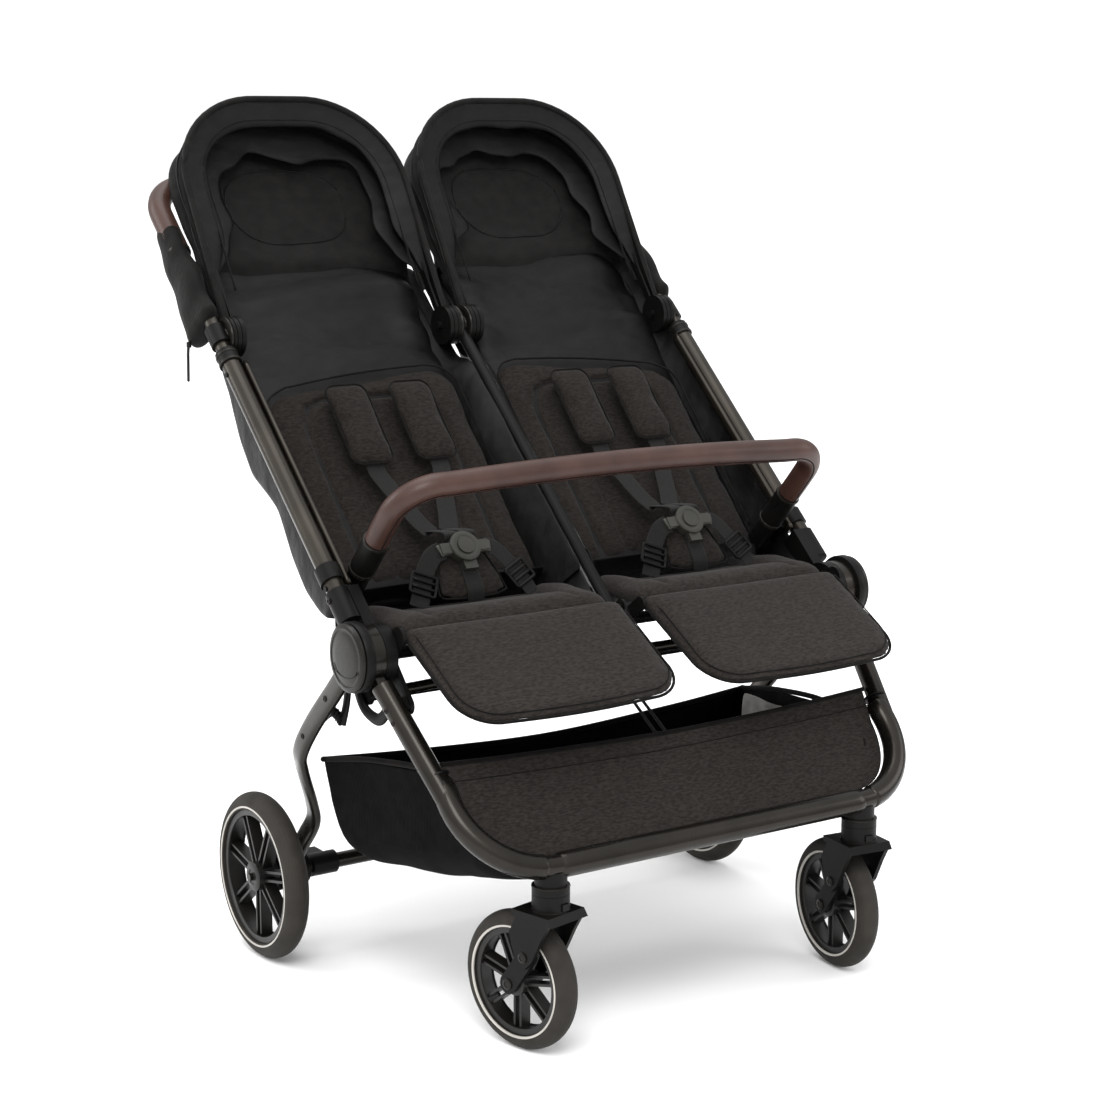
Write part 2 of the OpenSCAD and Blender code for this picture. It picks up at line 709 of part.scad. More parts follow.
front_frame();
fold_pins();
caster_sockets();
seat_frame();
basket();
basket_front_panel();
seat_cushions();
crotch_pads();
buckles();
buckle_button_left();
buckle_button_right();
rear_legs();
hub_covers();
rear_axle();
brake_housings();
brake_pedal();
tyre_rear_left();
rim_rear_left();
tyre_rear_right();
rim_rear_right();
caster_fork_left();
caster_arm_left();
tyre_front_left();
rim_front_left();
caster_fork_right();
caster_arm_right();
tyre_front_right();
rim_front_right();
swivel_lock_left();
swivel_lock_right();
upper_tubes();
upper_brackets();
tube_collars();
handle_tube();
handle_grip();
release_housing();
fold_trigger();
centre_post();
hood_mounts();
hood_rear_fabric();
hood_front_bow_left();
hood_front_fabric_left();
hood_mid_bow_left();
hood_mid_fabric_left();
hood_front_bow_right();
hood_front_fabric_right();
hood_mid_bow_right();
hood_mid_fabric_right();
seat_back_left();
seat_back_right();
shoulder_pads_left();
shoulder_pads_right();
calf_rest_left();
calf_rest_right();
bar_sockets();
bar_collars();
bumper_bar();
bar_button_left();
bar_button_right();
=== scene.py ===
"""Side-by-side double stroller: the visible surfaces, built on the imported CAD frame."""
import json
from math import cos, pi, radians, sin, sqrt, tan

import bmesh
import bpy
import numpy as np
from mathutils import Vector
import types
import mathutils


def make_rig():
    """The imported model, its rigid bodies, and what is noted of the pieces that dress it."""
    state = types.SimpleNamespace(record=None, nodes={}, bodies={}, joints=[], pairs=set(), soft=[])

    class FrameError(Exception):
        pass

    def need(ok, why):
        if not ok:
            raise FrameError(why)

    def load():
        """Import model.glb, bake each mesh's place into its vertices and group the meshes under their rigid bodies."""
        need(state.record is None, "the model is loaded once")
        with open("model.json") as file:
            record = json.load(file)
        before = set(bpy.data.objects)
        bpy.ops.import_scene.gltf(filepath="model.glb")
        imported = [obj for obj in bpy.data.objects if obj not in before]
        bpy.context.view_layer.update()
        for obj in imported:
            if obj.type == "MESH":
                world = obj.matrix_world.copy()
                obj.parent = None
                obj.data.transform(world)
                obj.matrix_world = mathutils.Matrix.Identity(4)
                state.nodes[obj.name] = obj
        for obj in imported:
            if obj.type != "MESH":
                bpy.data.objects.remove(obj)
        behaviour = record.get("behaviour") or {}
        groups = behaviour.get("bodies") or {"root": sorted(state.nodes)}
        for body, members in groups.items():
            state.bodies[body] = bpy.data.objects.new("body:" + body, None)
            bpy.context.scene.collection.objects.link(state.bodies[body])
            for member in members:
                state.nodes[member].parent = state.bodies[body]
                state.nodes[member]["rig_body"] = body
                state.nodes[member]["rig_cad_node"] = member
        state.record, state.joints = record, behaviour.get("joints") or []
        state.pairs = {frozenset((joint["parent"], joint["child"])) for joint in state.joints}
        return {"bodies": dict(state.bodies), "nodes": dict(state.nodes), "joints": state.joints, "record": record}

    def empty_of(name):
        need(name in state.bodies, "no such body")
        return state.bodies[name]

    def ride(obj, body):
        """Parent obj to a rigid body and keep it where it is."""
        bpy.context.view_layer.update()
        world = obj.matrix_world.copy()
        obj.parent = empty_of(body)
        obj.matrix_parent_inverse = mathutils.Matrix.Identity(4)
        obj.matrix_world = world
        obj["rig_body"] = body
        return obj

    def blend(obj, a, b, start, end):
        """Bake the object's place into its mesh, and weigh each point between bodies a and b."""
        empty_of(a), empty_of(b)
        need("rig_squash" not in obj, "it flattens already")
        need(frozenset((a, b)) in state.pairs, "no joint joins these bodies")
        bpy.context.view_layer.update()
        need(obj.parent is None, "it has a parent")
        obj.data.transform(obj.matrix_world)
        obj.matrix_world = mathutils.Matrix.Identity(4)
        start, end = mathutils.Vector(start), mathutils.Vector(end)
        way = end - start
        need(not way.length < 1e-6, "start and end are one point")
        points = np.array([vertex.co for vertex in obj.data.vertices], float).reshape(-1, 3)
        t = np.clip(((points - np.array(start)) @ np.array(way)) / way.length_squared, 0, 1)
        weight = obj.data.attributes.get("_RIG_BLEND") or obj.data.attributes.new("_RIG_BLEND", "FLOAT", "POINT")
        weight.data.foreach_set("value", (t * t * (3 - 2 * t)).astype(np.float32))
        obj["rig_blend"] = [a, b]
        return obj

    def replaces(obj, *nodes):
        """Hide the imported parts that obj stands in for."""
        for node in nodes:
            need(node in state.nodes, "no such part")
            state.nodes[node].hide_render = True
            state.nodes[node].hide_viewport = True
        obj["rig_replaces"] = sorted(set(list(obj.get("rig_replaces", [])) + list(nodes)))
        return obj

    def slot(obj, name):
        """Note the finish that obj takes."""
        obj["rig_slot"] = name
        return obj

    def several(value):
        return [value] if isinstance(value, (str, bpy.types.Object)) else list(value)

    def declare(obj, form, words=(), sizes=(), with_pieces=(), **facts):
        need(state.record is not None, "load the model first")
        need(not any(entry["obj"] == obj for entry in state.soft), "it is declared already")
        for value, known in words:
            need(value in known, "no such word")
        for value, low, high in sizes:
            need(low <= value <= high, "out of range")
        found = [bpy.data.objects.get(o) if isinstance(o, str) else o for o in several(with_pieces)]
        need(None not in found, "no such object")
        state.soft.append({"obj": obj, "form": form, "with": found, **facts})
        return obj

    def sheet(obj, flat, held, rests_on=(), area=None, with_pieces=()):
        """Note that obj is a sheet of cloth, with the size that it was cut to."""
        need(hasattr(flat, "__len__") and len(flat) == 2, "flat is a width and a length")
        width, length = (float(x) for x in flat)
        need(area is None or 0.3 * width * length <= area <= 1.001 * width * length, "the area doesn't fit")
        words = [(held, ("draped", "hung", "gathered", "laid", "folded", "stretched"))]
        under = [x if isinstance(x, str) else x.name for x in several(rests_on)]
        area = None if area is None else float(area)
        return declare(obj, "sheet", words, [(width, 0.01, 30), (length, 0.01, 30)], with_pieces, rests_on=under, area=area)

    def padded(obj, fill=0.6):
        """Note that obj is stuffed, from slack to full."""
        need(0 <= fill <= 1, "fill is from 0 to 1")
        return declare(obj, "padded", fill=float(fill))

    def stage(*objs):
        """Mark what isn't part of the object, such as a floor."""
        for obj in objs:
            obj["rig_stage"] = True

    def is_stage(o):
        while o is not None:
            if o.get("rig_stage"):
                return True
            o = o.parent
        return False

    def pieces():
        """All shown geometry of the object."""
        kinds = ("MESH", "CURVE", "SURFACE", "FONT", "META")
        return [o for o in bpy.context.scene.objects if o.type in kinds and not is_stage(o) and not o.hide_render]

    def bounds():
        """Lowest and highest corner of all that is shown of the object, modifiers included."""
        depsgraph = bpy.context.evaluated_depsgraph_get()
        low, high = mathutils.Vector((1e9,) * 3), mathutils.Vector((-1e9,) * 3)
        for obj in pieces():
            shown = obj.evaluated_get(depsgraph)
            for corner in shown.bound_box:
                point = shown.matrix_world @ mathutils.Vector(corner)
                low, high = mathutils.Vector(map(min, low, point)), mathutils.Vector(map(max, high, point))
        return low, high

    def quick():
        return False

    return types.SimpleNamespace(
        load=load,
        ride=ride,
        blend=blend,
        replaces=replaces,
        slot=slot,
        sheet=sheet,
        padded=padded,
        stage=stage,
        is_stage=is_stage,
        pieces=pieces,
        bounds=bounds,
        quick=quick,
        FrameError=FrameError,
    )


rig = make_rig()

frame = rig.load()
lo0, hi0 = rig.bounds()
nodes = frame["nodes"]
scene = bpy.context.scene

# ---------------------------------------------------------------- frames of reference, in metres
HY, HZ = -0.178, 0.452        # the fold hinge
CU, SU = cos(radians(42.5)), sin(radians(42.5))       # rise of the upper tubes
CL, SL = cos(radians(47)), sin(radians(47))           # fall of the front frame
MID = 0.172                   # middle of the right seat
HOOD_X, HOOD_S = 0.177, 0.504  # a hood's middle, and its pivot along the tubes
LEAN = tan(radians(8))   # how the front legs lean in
CLOTH_T, SKIRT_T, WEB_T = 0.0016, 0.0018, 0.0018   # thickness of the fabrics and of the webbing
BAR_S = 0.118                 # the bumper bar, along the tubes
CORNER_X, CORNER_L, CORNER_R = 0.2276, 0.202, 0.1   # a bend of the front frame: across, down, radius
AXLE_Y, AXLE_Z = 0.103, 0.108   # the rear axle
X = (1, 0, 0)


def vec(*p):
    return np.array(p, float)


def U(x, s, out=0.0):
    """A point beside the upper tubes: across, along them from the hinge, ahead of them."""
    return vec(x, HY + s * CU - out * SU, HZ + s * SU + out * CU)


def L(x, l, out=0.0):
    """A point beside the front frame: across, down it from the hinge, ahead of it."""
    return vec(x, HY - l * CL - out * SL, HZ - l * SL + out * CL)


def hood_at(side, phi, d, y):
    """A point of a hood: angle ahead of the tubes in degrees, distance from the pivot, across."""
    a = radians(phi)
    return U(side * HOOD_X + y, HOOD_S + d * cos(a), d * sin(a))


def ripple(p, seed, size):
    """Smooth repeatable waves in space, about -1 to 1, for folds of a given size."""
    rng = np.random.RandomState(seed)
    p = np.asarray(p, float)
    total = np.zeros(p.shape[:-1])
    for _ in range(7):
        k = rng.normal(size=3)
        k *= 2 * pi / (size * rng.uniform(0.7, 1.6) * np.linalg.norm(k))
        total += np.sin(p @ k + rng.uniform(0, 6.28))
    return total / 3.2


def step(x, a, b):
    t = np.clip((np.asarray(x, float) - a) / (b - a), 0, 1)
    return t * t * (3 - 2 * t)


def smooth_path(points, n):
    """n points on a Catmull-Rom curve through the given ones."""
    p = np.array([points[0], *points, points[-1]], float)
    out = []
    for t in np.linspace(0, len(points) - 1 - 1e-9, n):
        i, f = int(t), t - int(t)
        a, b, c, d = p[i:i + 4]
        out.append(0.5 * (2 * b + (c - a) * f + (2 * a - 5 * b + 4 * c - d) * f * f
                          + (3 * b - a - 3 * c + d) * f ** 3))
    return np.array(out)


# ---------------------------------------------------------------- mesh makers
def make(name, verts, faces, mat, smooth=True):
    me = bpy.data.meshes.new(name)
    me.from_pydata([tuple(float(c) for c in v) for v in verts], [], faces)
    me.materials.append(M[mat])
    o = bpy.data.objects.new(name, me)
    scene.collection.objects.link(o)
    bm = bmesh.new()
    bm.from_mesh(me)
    bmesh.ops.remove_doubles(bm, verts=bm.verts, dist=1e-6)
    bmesh.ops.recalc_face_normals(bm, faces=bm.faces)
    bm.to_mesh(me)
    bm.free()
    me.polygons.foreach_set("use_smooth", [smooth] * len(me.polygons))
    return o


def settle(o):
    """Applies the modifiers of o to its mesh."""
    bpy.context.view_layer.update()
    me = bpy.data.meshes.new_from_object(o.evaluated_get(bpy.context.evaluated_depsgraph_get()))
    o.modifiers.clear()
    o.data = me
    me.polygons.foreach_set("use_smooth", [True] * len(me.polygons))
    return o


def soften(o, levels=1):
    o.modifiers.new("sub", "SUBSURF").levels = levels
    return settle(o)


def grid_faces(nu, nv, wrap_u=False, wrap_v=False, base=0, flip=False):
    out = []
    for i in range(nu if wrap_u else nu - 1):
        for j in range(nv if wrap_v else nv - 1):
            a, b = base + i * nv + j, base + i * nv + (j + 1) % nv
            c, d = base + (i + 1) % nu * nv + (j + 1) % nv, base + (i + 1) % nu * nv + j
            out.append((a, d, c, b) if flip else (a, b, c, d))
    return out


def normals(P):
    n = np.cross(np.gradient(P, axis=0), np.gradient(P, axis=1))
    return n / np.maximum(np.linalg.norm(n, axis=2, keepdims=True), 1e-9)


def shell_faces(n, m, closed=False):
    """Faces over n rings of m points. Closed, the last ring joins the first. Open, both ends are capped."""
    faces = grid_faces(n, m, wrap_u=closed, wrap_v=True)
    return faces if closed else faces + [tuple(range(m)), tuple(range((n - 1) * m, n * m))]


def ruled(rows, m, bulge=0.0):
    """A grid with m points from start to end of each row, bowed by the vector bulge in the middle."""
    v = np.linspace(0, 1, m)[:, None]
    return np.array([a + (b - a) * v + np.multiply(bulge, np.sin(pi * v)) for a, b in rows])


def cloth(name, P, t, mat, levels=1):
    """A closed sheet as thick as t round the middle surface P."""
    P = np.asarray(P, float)
    nu, nv = P.shape[:2]
    t = np.broadcast_to(np.asarray(t, float), (nu, nv))[..., None]
    N = normals(P)
    verts = np.concatenate([(P + N * t / 2).reshape(-1, 3), (P - N * t / 2).reshape(-1, 3)])
    k = nu * nv
    faces = grid_faces(nu, nv) + grid_faces(nu, nv, base=k, flip=True)
    rim = [i * nv for i in range(nu)] + [(nu - 1) * nv + j for j in range(1, nv)]
    rim += [i * nv + nv - 1 for i in range(nu - 2, -1, -1)] + [j for j in range(nv - 2, 0, -1)]
    faces += [(a, a + k, b + k, b) for a, b in zip(rim, rim[1:] + rim[:1])]
    o = make(name, verts, faces, mat)
    return soften(o, levels) if levels else o


def pad(name, B, h, mat, levels=1):
    """A padded piece on the bottom surface B, as high as h above it."""
    B = np.asarray(B, float)
    return cloth(name, B + normals(B) * h[..., None] / 2, h, mat, levels)


def sweep(name, path, sec, mat, side=X, closed=False, levels=0):
    """A section, rows of (across, up), carried along a path. sec may differ at each point."""
    path = np.asarray(path, float)
    n = len(path)
    T = np.gradient(path, axis=0) if not closed else np.roll(path, -1, 0) - np.roll(path, 1, 0)
    T /= np.linalg.norm(T, axis=1, keepdims=True)
    S = np.broadcast_to(np.asarray(side, float), (n, 3))
    S = S - (S * T).sum(1, keepdims=True) * T
    S /= np.linalg.norm(S, axis=1, keepdims=True)
    N = np.cross(T, S)
    sec = np.asarray(sec, float)
    if sec.ndim == 2:
        sec = np.broadcast_to(sec, (n, *sec.shape))
    m = sec.shape[1]
    V = path[:, None] + S[:, None] * sec[..., :1] + N[:, None] * sec[..., 1:]
    o = make(name, V.reshape(-1, 3), shell_faces(n, m, closed), mat)
    return soften(o, levels) if levels else o


def ring_section(r, m=16, ry=None, power=1.0):
    a = np.linspace(0, 2 * pi, m, endpoint=False)
    c, s = np.cos(a), np.sin(a)
    return np.stack([r * np.sign(c) * abs(c) ** power, (ry or r) * np.sign(s) * abs(s) ** power], 1)


def tube(name, path, r, mat, m=14, closed=False, side=(0.3, 0.5, 0.81)):
    r = np.broadcast_to(np.asarray(r, float), (len(path),))
    return sweep(name, path, ring_section(1, m)[None] * r[:, None, None], mat, side, closed)


def strap(name, path, w, t, mat, side, levels=1):
    """Flat webbing with rounded edges."""
    return sweep(name, path, ring_section(w / 2, 16, t / 2, 0.45), mat, side, levels=levels)


def lathe(name, profile, origin, axis, mat, m=48, ring=False):
    """A turned shape: profile rows are (along the axis, radius). With ring, the profile is a closed loop."""
    axis = Vector(axis).normalized()
    a = axis.orthogonal().normalized()
    b = axis.cross(a)
    o, axis, a, b = (np.array(v) for v in (origin, axis, a, b))
    ang = np.linspace(0, 2 * pi, m, endpoint=False)
    V = [o + axis * d + (a * cos(t) + b * sin(t)) * max(r, 1e-4)
         for d, r in profile for t in ang]
    ob = make(name, V, shell_faces(len(profile), m, ring), mat)
    ob.modifiers.new("edges", "EDGE_SPLIT").split_angle = radians(40)
    return settle(ob)


def mirrored(o, name):
    """A copy of o on the other side of the stroller."""
    me = o.data.copy()
    c = o.copy()
    c.data, c.name = me, name
    scene.collection.objects.link(c)
    co = np.zeros(len(me.vertices) * 3, np.float32)
    me.vertices.foreach_get("co", co)
    co[::3] *= -1
    me.vertices.foreach_set("co", co)
    me.flip_normals()
    return c


def inflate(o, voxel=0.005, cap=0.007, pressure=4.0):
    """Swells a closed pad with a cloth simulation, then smooths it."""
    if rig.quick():
        return soften(o, 1)
    r = o.modifiers.new("voxels", "REMESH")
    r.mode, r.voxel_size = "VOXEL", voxel
    settle(o)
    n = len(o.data.vertices)
    rest = np.zeros(n * 3, np.float32)
    o.data.vertices.foreach_get("co", rest)
    c = o.modifiers.new("cloth", "CLOTH")
    c.settings.use_pressure = True
    c.settings.uniform_pressure_force = pressure
    c.settings.effector_weights.gravity = 0
    c.settings.quality = 4
    c.point_cache.frame_start, c.point_cache.frame_end = 1, 20
    for f in range(1, 21):
        scene.frame_set(f)
    ev = o.evaluated_get(bpy.context.evaluated_depsgraph_get())
    now = np.zeros(n * 3, np.float32)
    ev.data.vertices.foreach_get("co", now)
    d = (now - rest).reshape(-1, 3)
    d *= np.minimum(1, cap / np.maximum(np.linalg.norm(d, axis=1, keepdims=True), 1e-9))
    o.modifiers.clear()
    o.data.vertices.foreach_set("co", rest + d.reshape(-1))
    scene.frame_set(1)
    s = o.modifiers.new("even", "SMOOTH")
    s.iterations, s.factor = 6, 0.5
    return soften(o, 1)


def shift(o, fn):
    """Moves each vertex by fn(points)."""
    n = len(o.data.vertices)
    co = np.zeros(n * 3, np.float32)
    o.data.vertices.foreach_get("co", co)
    co = co.reshape(-1, 3).astype(float)
    o.data.vertices.foreach_set("co", (co + fn(co)).astype(np.float32).reshape(-1))
    o.data.update()
    return o


def finish_piece(o, body, slot, *replaced, pad_fill=None, sheet=None):
    """Body is a name, or two names and where the blend between them starts and ends."""
    if isinstance(body, str):
        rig.ride(o, body)
    else:
        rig.blend(o, body[0], body[1], start=body[2], end=body[3])
    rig.slot(o, slot)
    if replaced:
        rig.replaces(o, *replaced)
    if pad_fill is not None:
        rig.padded(o, pad_fill)
    if sheet:
        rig.sheet(o, **sheet)
    return o


# ---------------------------------------------------------------- materials
def material(name, color, rough, metal=0.0, sheen=0.0, sheen_rough=0.5, coat=0.0, spec=0.5):
    m = bpy.data.materials.new(name)
    m.use_nodes = True
    nt = m.node_tree
    b = nt.nodes["Principled BSDF"]
    for k, v in (("Base Color", (*color, 1)), ("Roughness", rough), ("Metallic", metal),
                 ("Sheen Weight", sheen), ("Sheen Roughness", sheen_rough), ("Coat Weight", coat),
                 ("Specular IOR Level", spec)):
        b.inputs[k].default_value = v
    return m, nt, b


def node(nt, kind, **values):
    n = nt.nodes.new(kind)
    for k, v in values.items():
        if k in n.inputs:
            n.inputs[k].default_value = v
        else:
            setattr(n, k, v)
    return n


def coords(nt, scale=(1, 1, 1), rot=(0, 0, 0)):
    tc = node(nt, "ShaderNodeTexCoord")
    mp = node(nt, "ShaderNodeMapping")
    mp.inputs["Scale"].default_value = scale
    mp.inputs["Rotation"].default_value = rot
    nt.links.new(tc.outputs["Object"], mp.inputs["Vector"])
    return mp.outputs["Vector"]


def tones(nt, bsdf, fac, dark, light, a=0.3, b=0.7):
    """Colours a surface between two tones by a texture."""
    r = node(nt, "ShaderNodeValToRGB")
    r.color_ramp.elements[0].position, r.color_ramp.elements[1].position = a, b
    r.color_ramp.elements[0].color = (*dark, 1)
    r.color_ramp.elements[1].color = (*light, 1)
    nt.links.new(fac, r.inputs["Fac"])
    nt.links.new(r.outputs["Color"], bsdf.inputs["Base Color"])
    return r


def bump(nt, bsdf, *layers):
    """Stacks bumps: rows of (height output, depth in metres, strength)."""
    last = None
    for height, depth, strength in layers:
        b = node(nt, "ShaderNodeBump", Strength=strength, Distance=depth)
        nt.links.new(height, b.inputs["Height"])
        if last:
            nt.links.new(last.outputs["Normal"], b.inputs["Normal"])
        last = b
    nt.links.new(last.outputs["Normal"], bsdf.inputs["Normal"])


def rough_by(nt, bsdf, fac, low, high):
    r = node(nt, "ShaderNodeMapRange")
    r.inputs["To Min"].default_value, r.inputs["To Max"].default_value = low, high
    nt.links.new(fac, r.inputs["Value"])
    nt.links.new(r.outputs["Result"], bsdf.inputs["Roughness"])


def noise(nt, scale, detail=3.0, stretch=(1, 1, 1), rough=0.5):
    n = node(nt, "ShaderNodeTexNoise", Scale=scale, Detail=detail, Roughness=rough)
    nt.links.new(coords(nt, stretch), n.inputs["Vector"])
    return n.outputs["Fac"]


def wave(nt, period, axis="X", rot=(0, 0, 0), wobble=0.6):
    w = node(nt, "ShaderNodeTexWave", Scale=0.314 / period, Distortion=wobble, Detail=1.0)
    w.bands_direction = axis
    nt.links.new(coords(nt, (1, 1, 1), rot), w.inputs["Vector"])
    return w.outputs["Fac"]


def mixed(nt, a, b, kind="MULTIPLY"):
    m = node(nt, "ShaderNodeMath", operation=kind)
    nt.links.new(a, m.inputs[0])
    nt.links.new(b, m.inputs[1])
    return m.outputs[0]


def fabric(name, dark, light, rough=0.85, sheen=0.25, weave=0.0011, melange=0.0, folds=0.0, fold_size=28,
           spec=0.05):
    m, nt, b = material(name, light, rough, sheen=sheen, sheen_rough=0.45, spec=spec)
    warp = wave(nt, weave, "X")
    weft = wave(nt, weave * 0.8, "Z")
    yarn = mixed(nt, warp, weft, "ADD")
    speck = noise(nt, 420, 2, (0.35, 1, 1)) if melange else noise(nt, 60, 3)
    tones(nt, b, speck, dark, light, 0.34, 0.66)
    layers = [(yarn, 0.00025, 0.55)]
    if folds:
        layers.insert(0, (noise(nt, fold_size, 2.5, (0.5, 1.3, 1.0)), folds, 0.6))
    bump(nt, b, *layers)
    rough_by(nt, b, noise(nt, 35, 3), rough - 0.07, min(1, rough + 0.07))
    return m


def hard(name, dark, light, rough, metal=0.0, grain=900, depth=0.00006, coat=0.0, spec=0.5):
    m, nt, b = material(name, light, rough, metal, coat=coat, spec=spec)
    tones(nt, b, noise(nt, 16, 4), dark, light)
    bump(nt, b, (noise(nt, grain, 2), depth, 0.5), (noise(nt, 45, 2), 0.0002, 0.12))
    rough_by(nt, b, noise(nt, 30, 4), rough - 0.06, rough + 0.08)
    return m


M = {
    "melange": fabric("melange", (0.011, 0.0092, 0.0082), (0.0235, 0.0198, 0.0180), 0.93, 0.07, melange=1),
    # the seat melange again, darkened by about a third for the insert, shoulder pads and crotch pad: painted shade
    "melange_back": fabric("melange_back", (0.0082, 0.0069, 0.0061), (0.0172, 0.0145, 0.0131), 0.93, 0.04,
                           melange=1),
    "hood": fabric("hood_cloth", (0.0028, 0.0025, 0.0023), (0.0052, 0.0047, 0.0043), 0.6, 0.03, folds=0.006,
                   spec=0.08),
    "shiny": fabric("liner_cloth", (0.0016, 0.0016, 0.0015), (0.0030, 0.0029, 0.0028), 0.36, 0.0, folds=0.012,
                    fold_size=17, spec=0.12),
    "bag": fabric("bag_cloth", (0.0016, 0.0016, 0.0015), (0.0032, 0.0031, 0.003), 0.8, 0.0, folds=0.003,
                  fold_size=20),
    "lining": fabric("pale_lining", (0.17, 0.165, 0.155), (0.25, 0.24, 0.225), 0.85, 0.2, folds=0.002),
    "piping": fabric("piping_cloth", (0.003, 0.0027, 0.0025), (0.006, 0.0052, 0.0047), 0.8, 0.04),
    "paint": hard("bronze_paint", (0.020, 0.017, 0.0135), (0.032, 0.027, 0.021), 0.3, 0.8, coat=0.1),
    # the bronze paint again, darkened for the lower frame that faces down: painted shade
    "paint_dark": hard("bronze_paint_dark", (0.0115, 0.0098, 0.0079), (0.0195, 0.0166, 0.0133), 0.27, 0.8,
                       coat=0.1),
    "plastic": hard("black_plastic", (0.0022, 0.002, 0.0019), (0.0045, 0.0041, 0.0038), 0.4, spec=0.1),
    "gloss": hard("gloss_plastic", (0.006, 0.0053, 0.0044), (0.011, 0.0098, 0.0082), 0.26, grain=1500,
                  depth=0.00002, spec=0.14),
    "rim": hard("rim_plastic", (0.004, 0.0036, 0.0032), (0.0085, 0.0076, 0.0068), 0.38, spec=0.3),
    "buckle": hard("buckle_plastic", (0.016, 0.0155, 0.0125), (0.028, 0.027, 0.022), 0.38, spec=0.35),
    "steel": hard("pin_steel", (0.2, 0.195, 0.185), (0.32, 0.31, 0.3), 0.32, 1.0),
    "pale": hard("pale_ring", (0.30, 0.285, 0.26), (0.44, 0.42, 0.385), 0.5),
}


def leather():
    m, nt, b = material("brown_leather", (0.05, 0.026, 0.02), 0.42, coat=0.04, spec=0.26)
    tones(nt, b, noise(nt, 22, 5), (0.026, 0.0112, 0.0084), (0.046, 0.0212, 0.0162))
    v = node(nt, "ShaderNodeTexVoronoi", Scale=620)
    nt.links.new(coords(nt), v.inputs["Vector"])
    bump(nt, b, (v.outputs["Distance"], 0.0003, 0.35), (noise(nt, 240, 3), 0.0002, 0.3))
    rough_by(nt, b, noise(nt, 50, 4), 0.34, 0.48)
    return m


def rubber():
    m, nt, b = material("tyre_rubber", (0.02, 0.0175, 0.015), 0.7, spec=0.2)
    tones(nt, b, noise(nt, 40, 4), (0.0135, 0.0118, 0.0098), (0.023, 0.020, 0.0168))
    bump(nt, b, (wave(nt, 0.004, "X", wobble=0.2), 0.0003, 0.35), (noise(nt, 700, 2), 0.0001, 0.4))
    rough_by(nt, b, noise(nt, 25, 3), 0.64, 0.82)
    return m


def webbing():
    m, nt, b = material("webbing", (0.005, 0.0046, 0.0043), 0.7, sheen=0.05, spec=0.15)
    tones(nt, b, noise(nt, 300, 2), (0.0025, 0.0023, 0.0021), (0.0055, 0.005, 0.0047))
    bump(nt, b, (wave(nt, 0.0016, "DIAGONAL"), 0.0003, 0.6))
    return m


M["leather"], M["rubber"], M["webbing"] = leather(), rubber(), webbing()

# the front frame, rear legs and axle take the darkened bronze paint, which is painted shade
LOOKS = {"rubber": ("tyre",), "rim": ("rim",), "steel": ("fold_pins",), "buckle": ("buckle",),
         "gloss": ("hub_covers",), "paint_dark": ("front_frame", "rear_legs", "rear_axle"),
         "paint": ("upper_tubes", "handle_tube"), "leather": ("handle_grip", "bumper_bar"),
         "melange": ("seat_cushions", "seat_back", "calf", "basket_front", "crotch", "shoulder"), }
for n, o in nodes.items():
    key = next((k for k, starts in LOOKS.items() if n.startswith(starts)), "plastic")
    if "fabric" in n or n == "basket":
        key = "hood"
    o.data.materials.clear()
    o.data.materials.append(M[key])

AHEAD = U(0, 0, 1) - U(0, 0, 0)
ALONG = U(0, 1) - U(0, 0)
L_OUT = L(0, 0, 1) - L(0, 0, 0)

# ---------------------------------------------------------------- hoods
HR, HW, HC = 0.347, 0.164, 0.128
N_ARCH = 61


def arch(inset, foot=0.012, n=N_ARCH):
    """Points (distance from the pivot, across) along a hood's arch, from its outer foot to its inner one."""
    r, w, c = HR - inset, HW - inset, HC - inset
    line, arc, top = r - c - foot, c * pi / 2, 2 * (w - c)
    total = 2 * line + 2 * arc + top
    out = []
    for d in np.linspace(0, total, n):
        if d > total / 2:
            d, sign = total - d, 1
        else:
            sign = -1
        if d < line:
            p = (foot + d, w)
        elif d < line + arc:
            a = (d - line) / c
            p = (r - c + c * sin(a), w - c + c * cos(a))
        else:
            p = (r, w - c - (d - line - arc))
        out.append((p[0], sign * p[1]))
    return np.array(out)


def hood_panel(name, side, stations, mat, seed, fold):
    """Fabric through a list of arches, each (angle, inset, how wild). Folds deepen away from the pivots."""
    outer = arch(0.0)
    P = np.zeros((N_ARCH, len(stations), 3))
    for j, (phi, inset, _) in enumerate(stations):
        for i, ((d, y), (d0, y0)) in enumerate(zip(arch(max(inset, 0) * 0.999), outer)):
            lift = step(d, 0.03, 0.16)
            P[i, j] = hood_at(side, 6 + (phi - 6) * (0.55 + 0.45 * lift), d0 + (d - d0) * lift,
                              y0 + (y - y0) * lift)
    rip = ripple(P, seed, 0.085) + 0.5 * ripple(P, seed + 5, 0.035)
    away = P - hood_at(side, 8, 0.12, 0)
    away /= np.linalg.norm(away, axis=2, keepdims=True)
    W = np.array([w for _, _, w in stations])[None, :, None]
    return cloth(name, P + away * rip[..., None] * fold * W, CLOTH_T, mat)


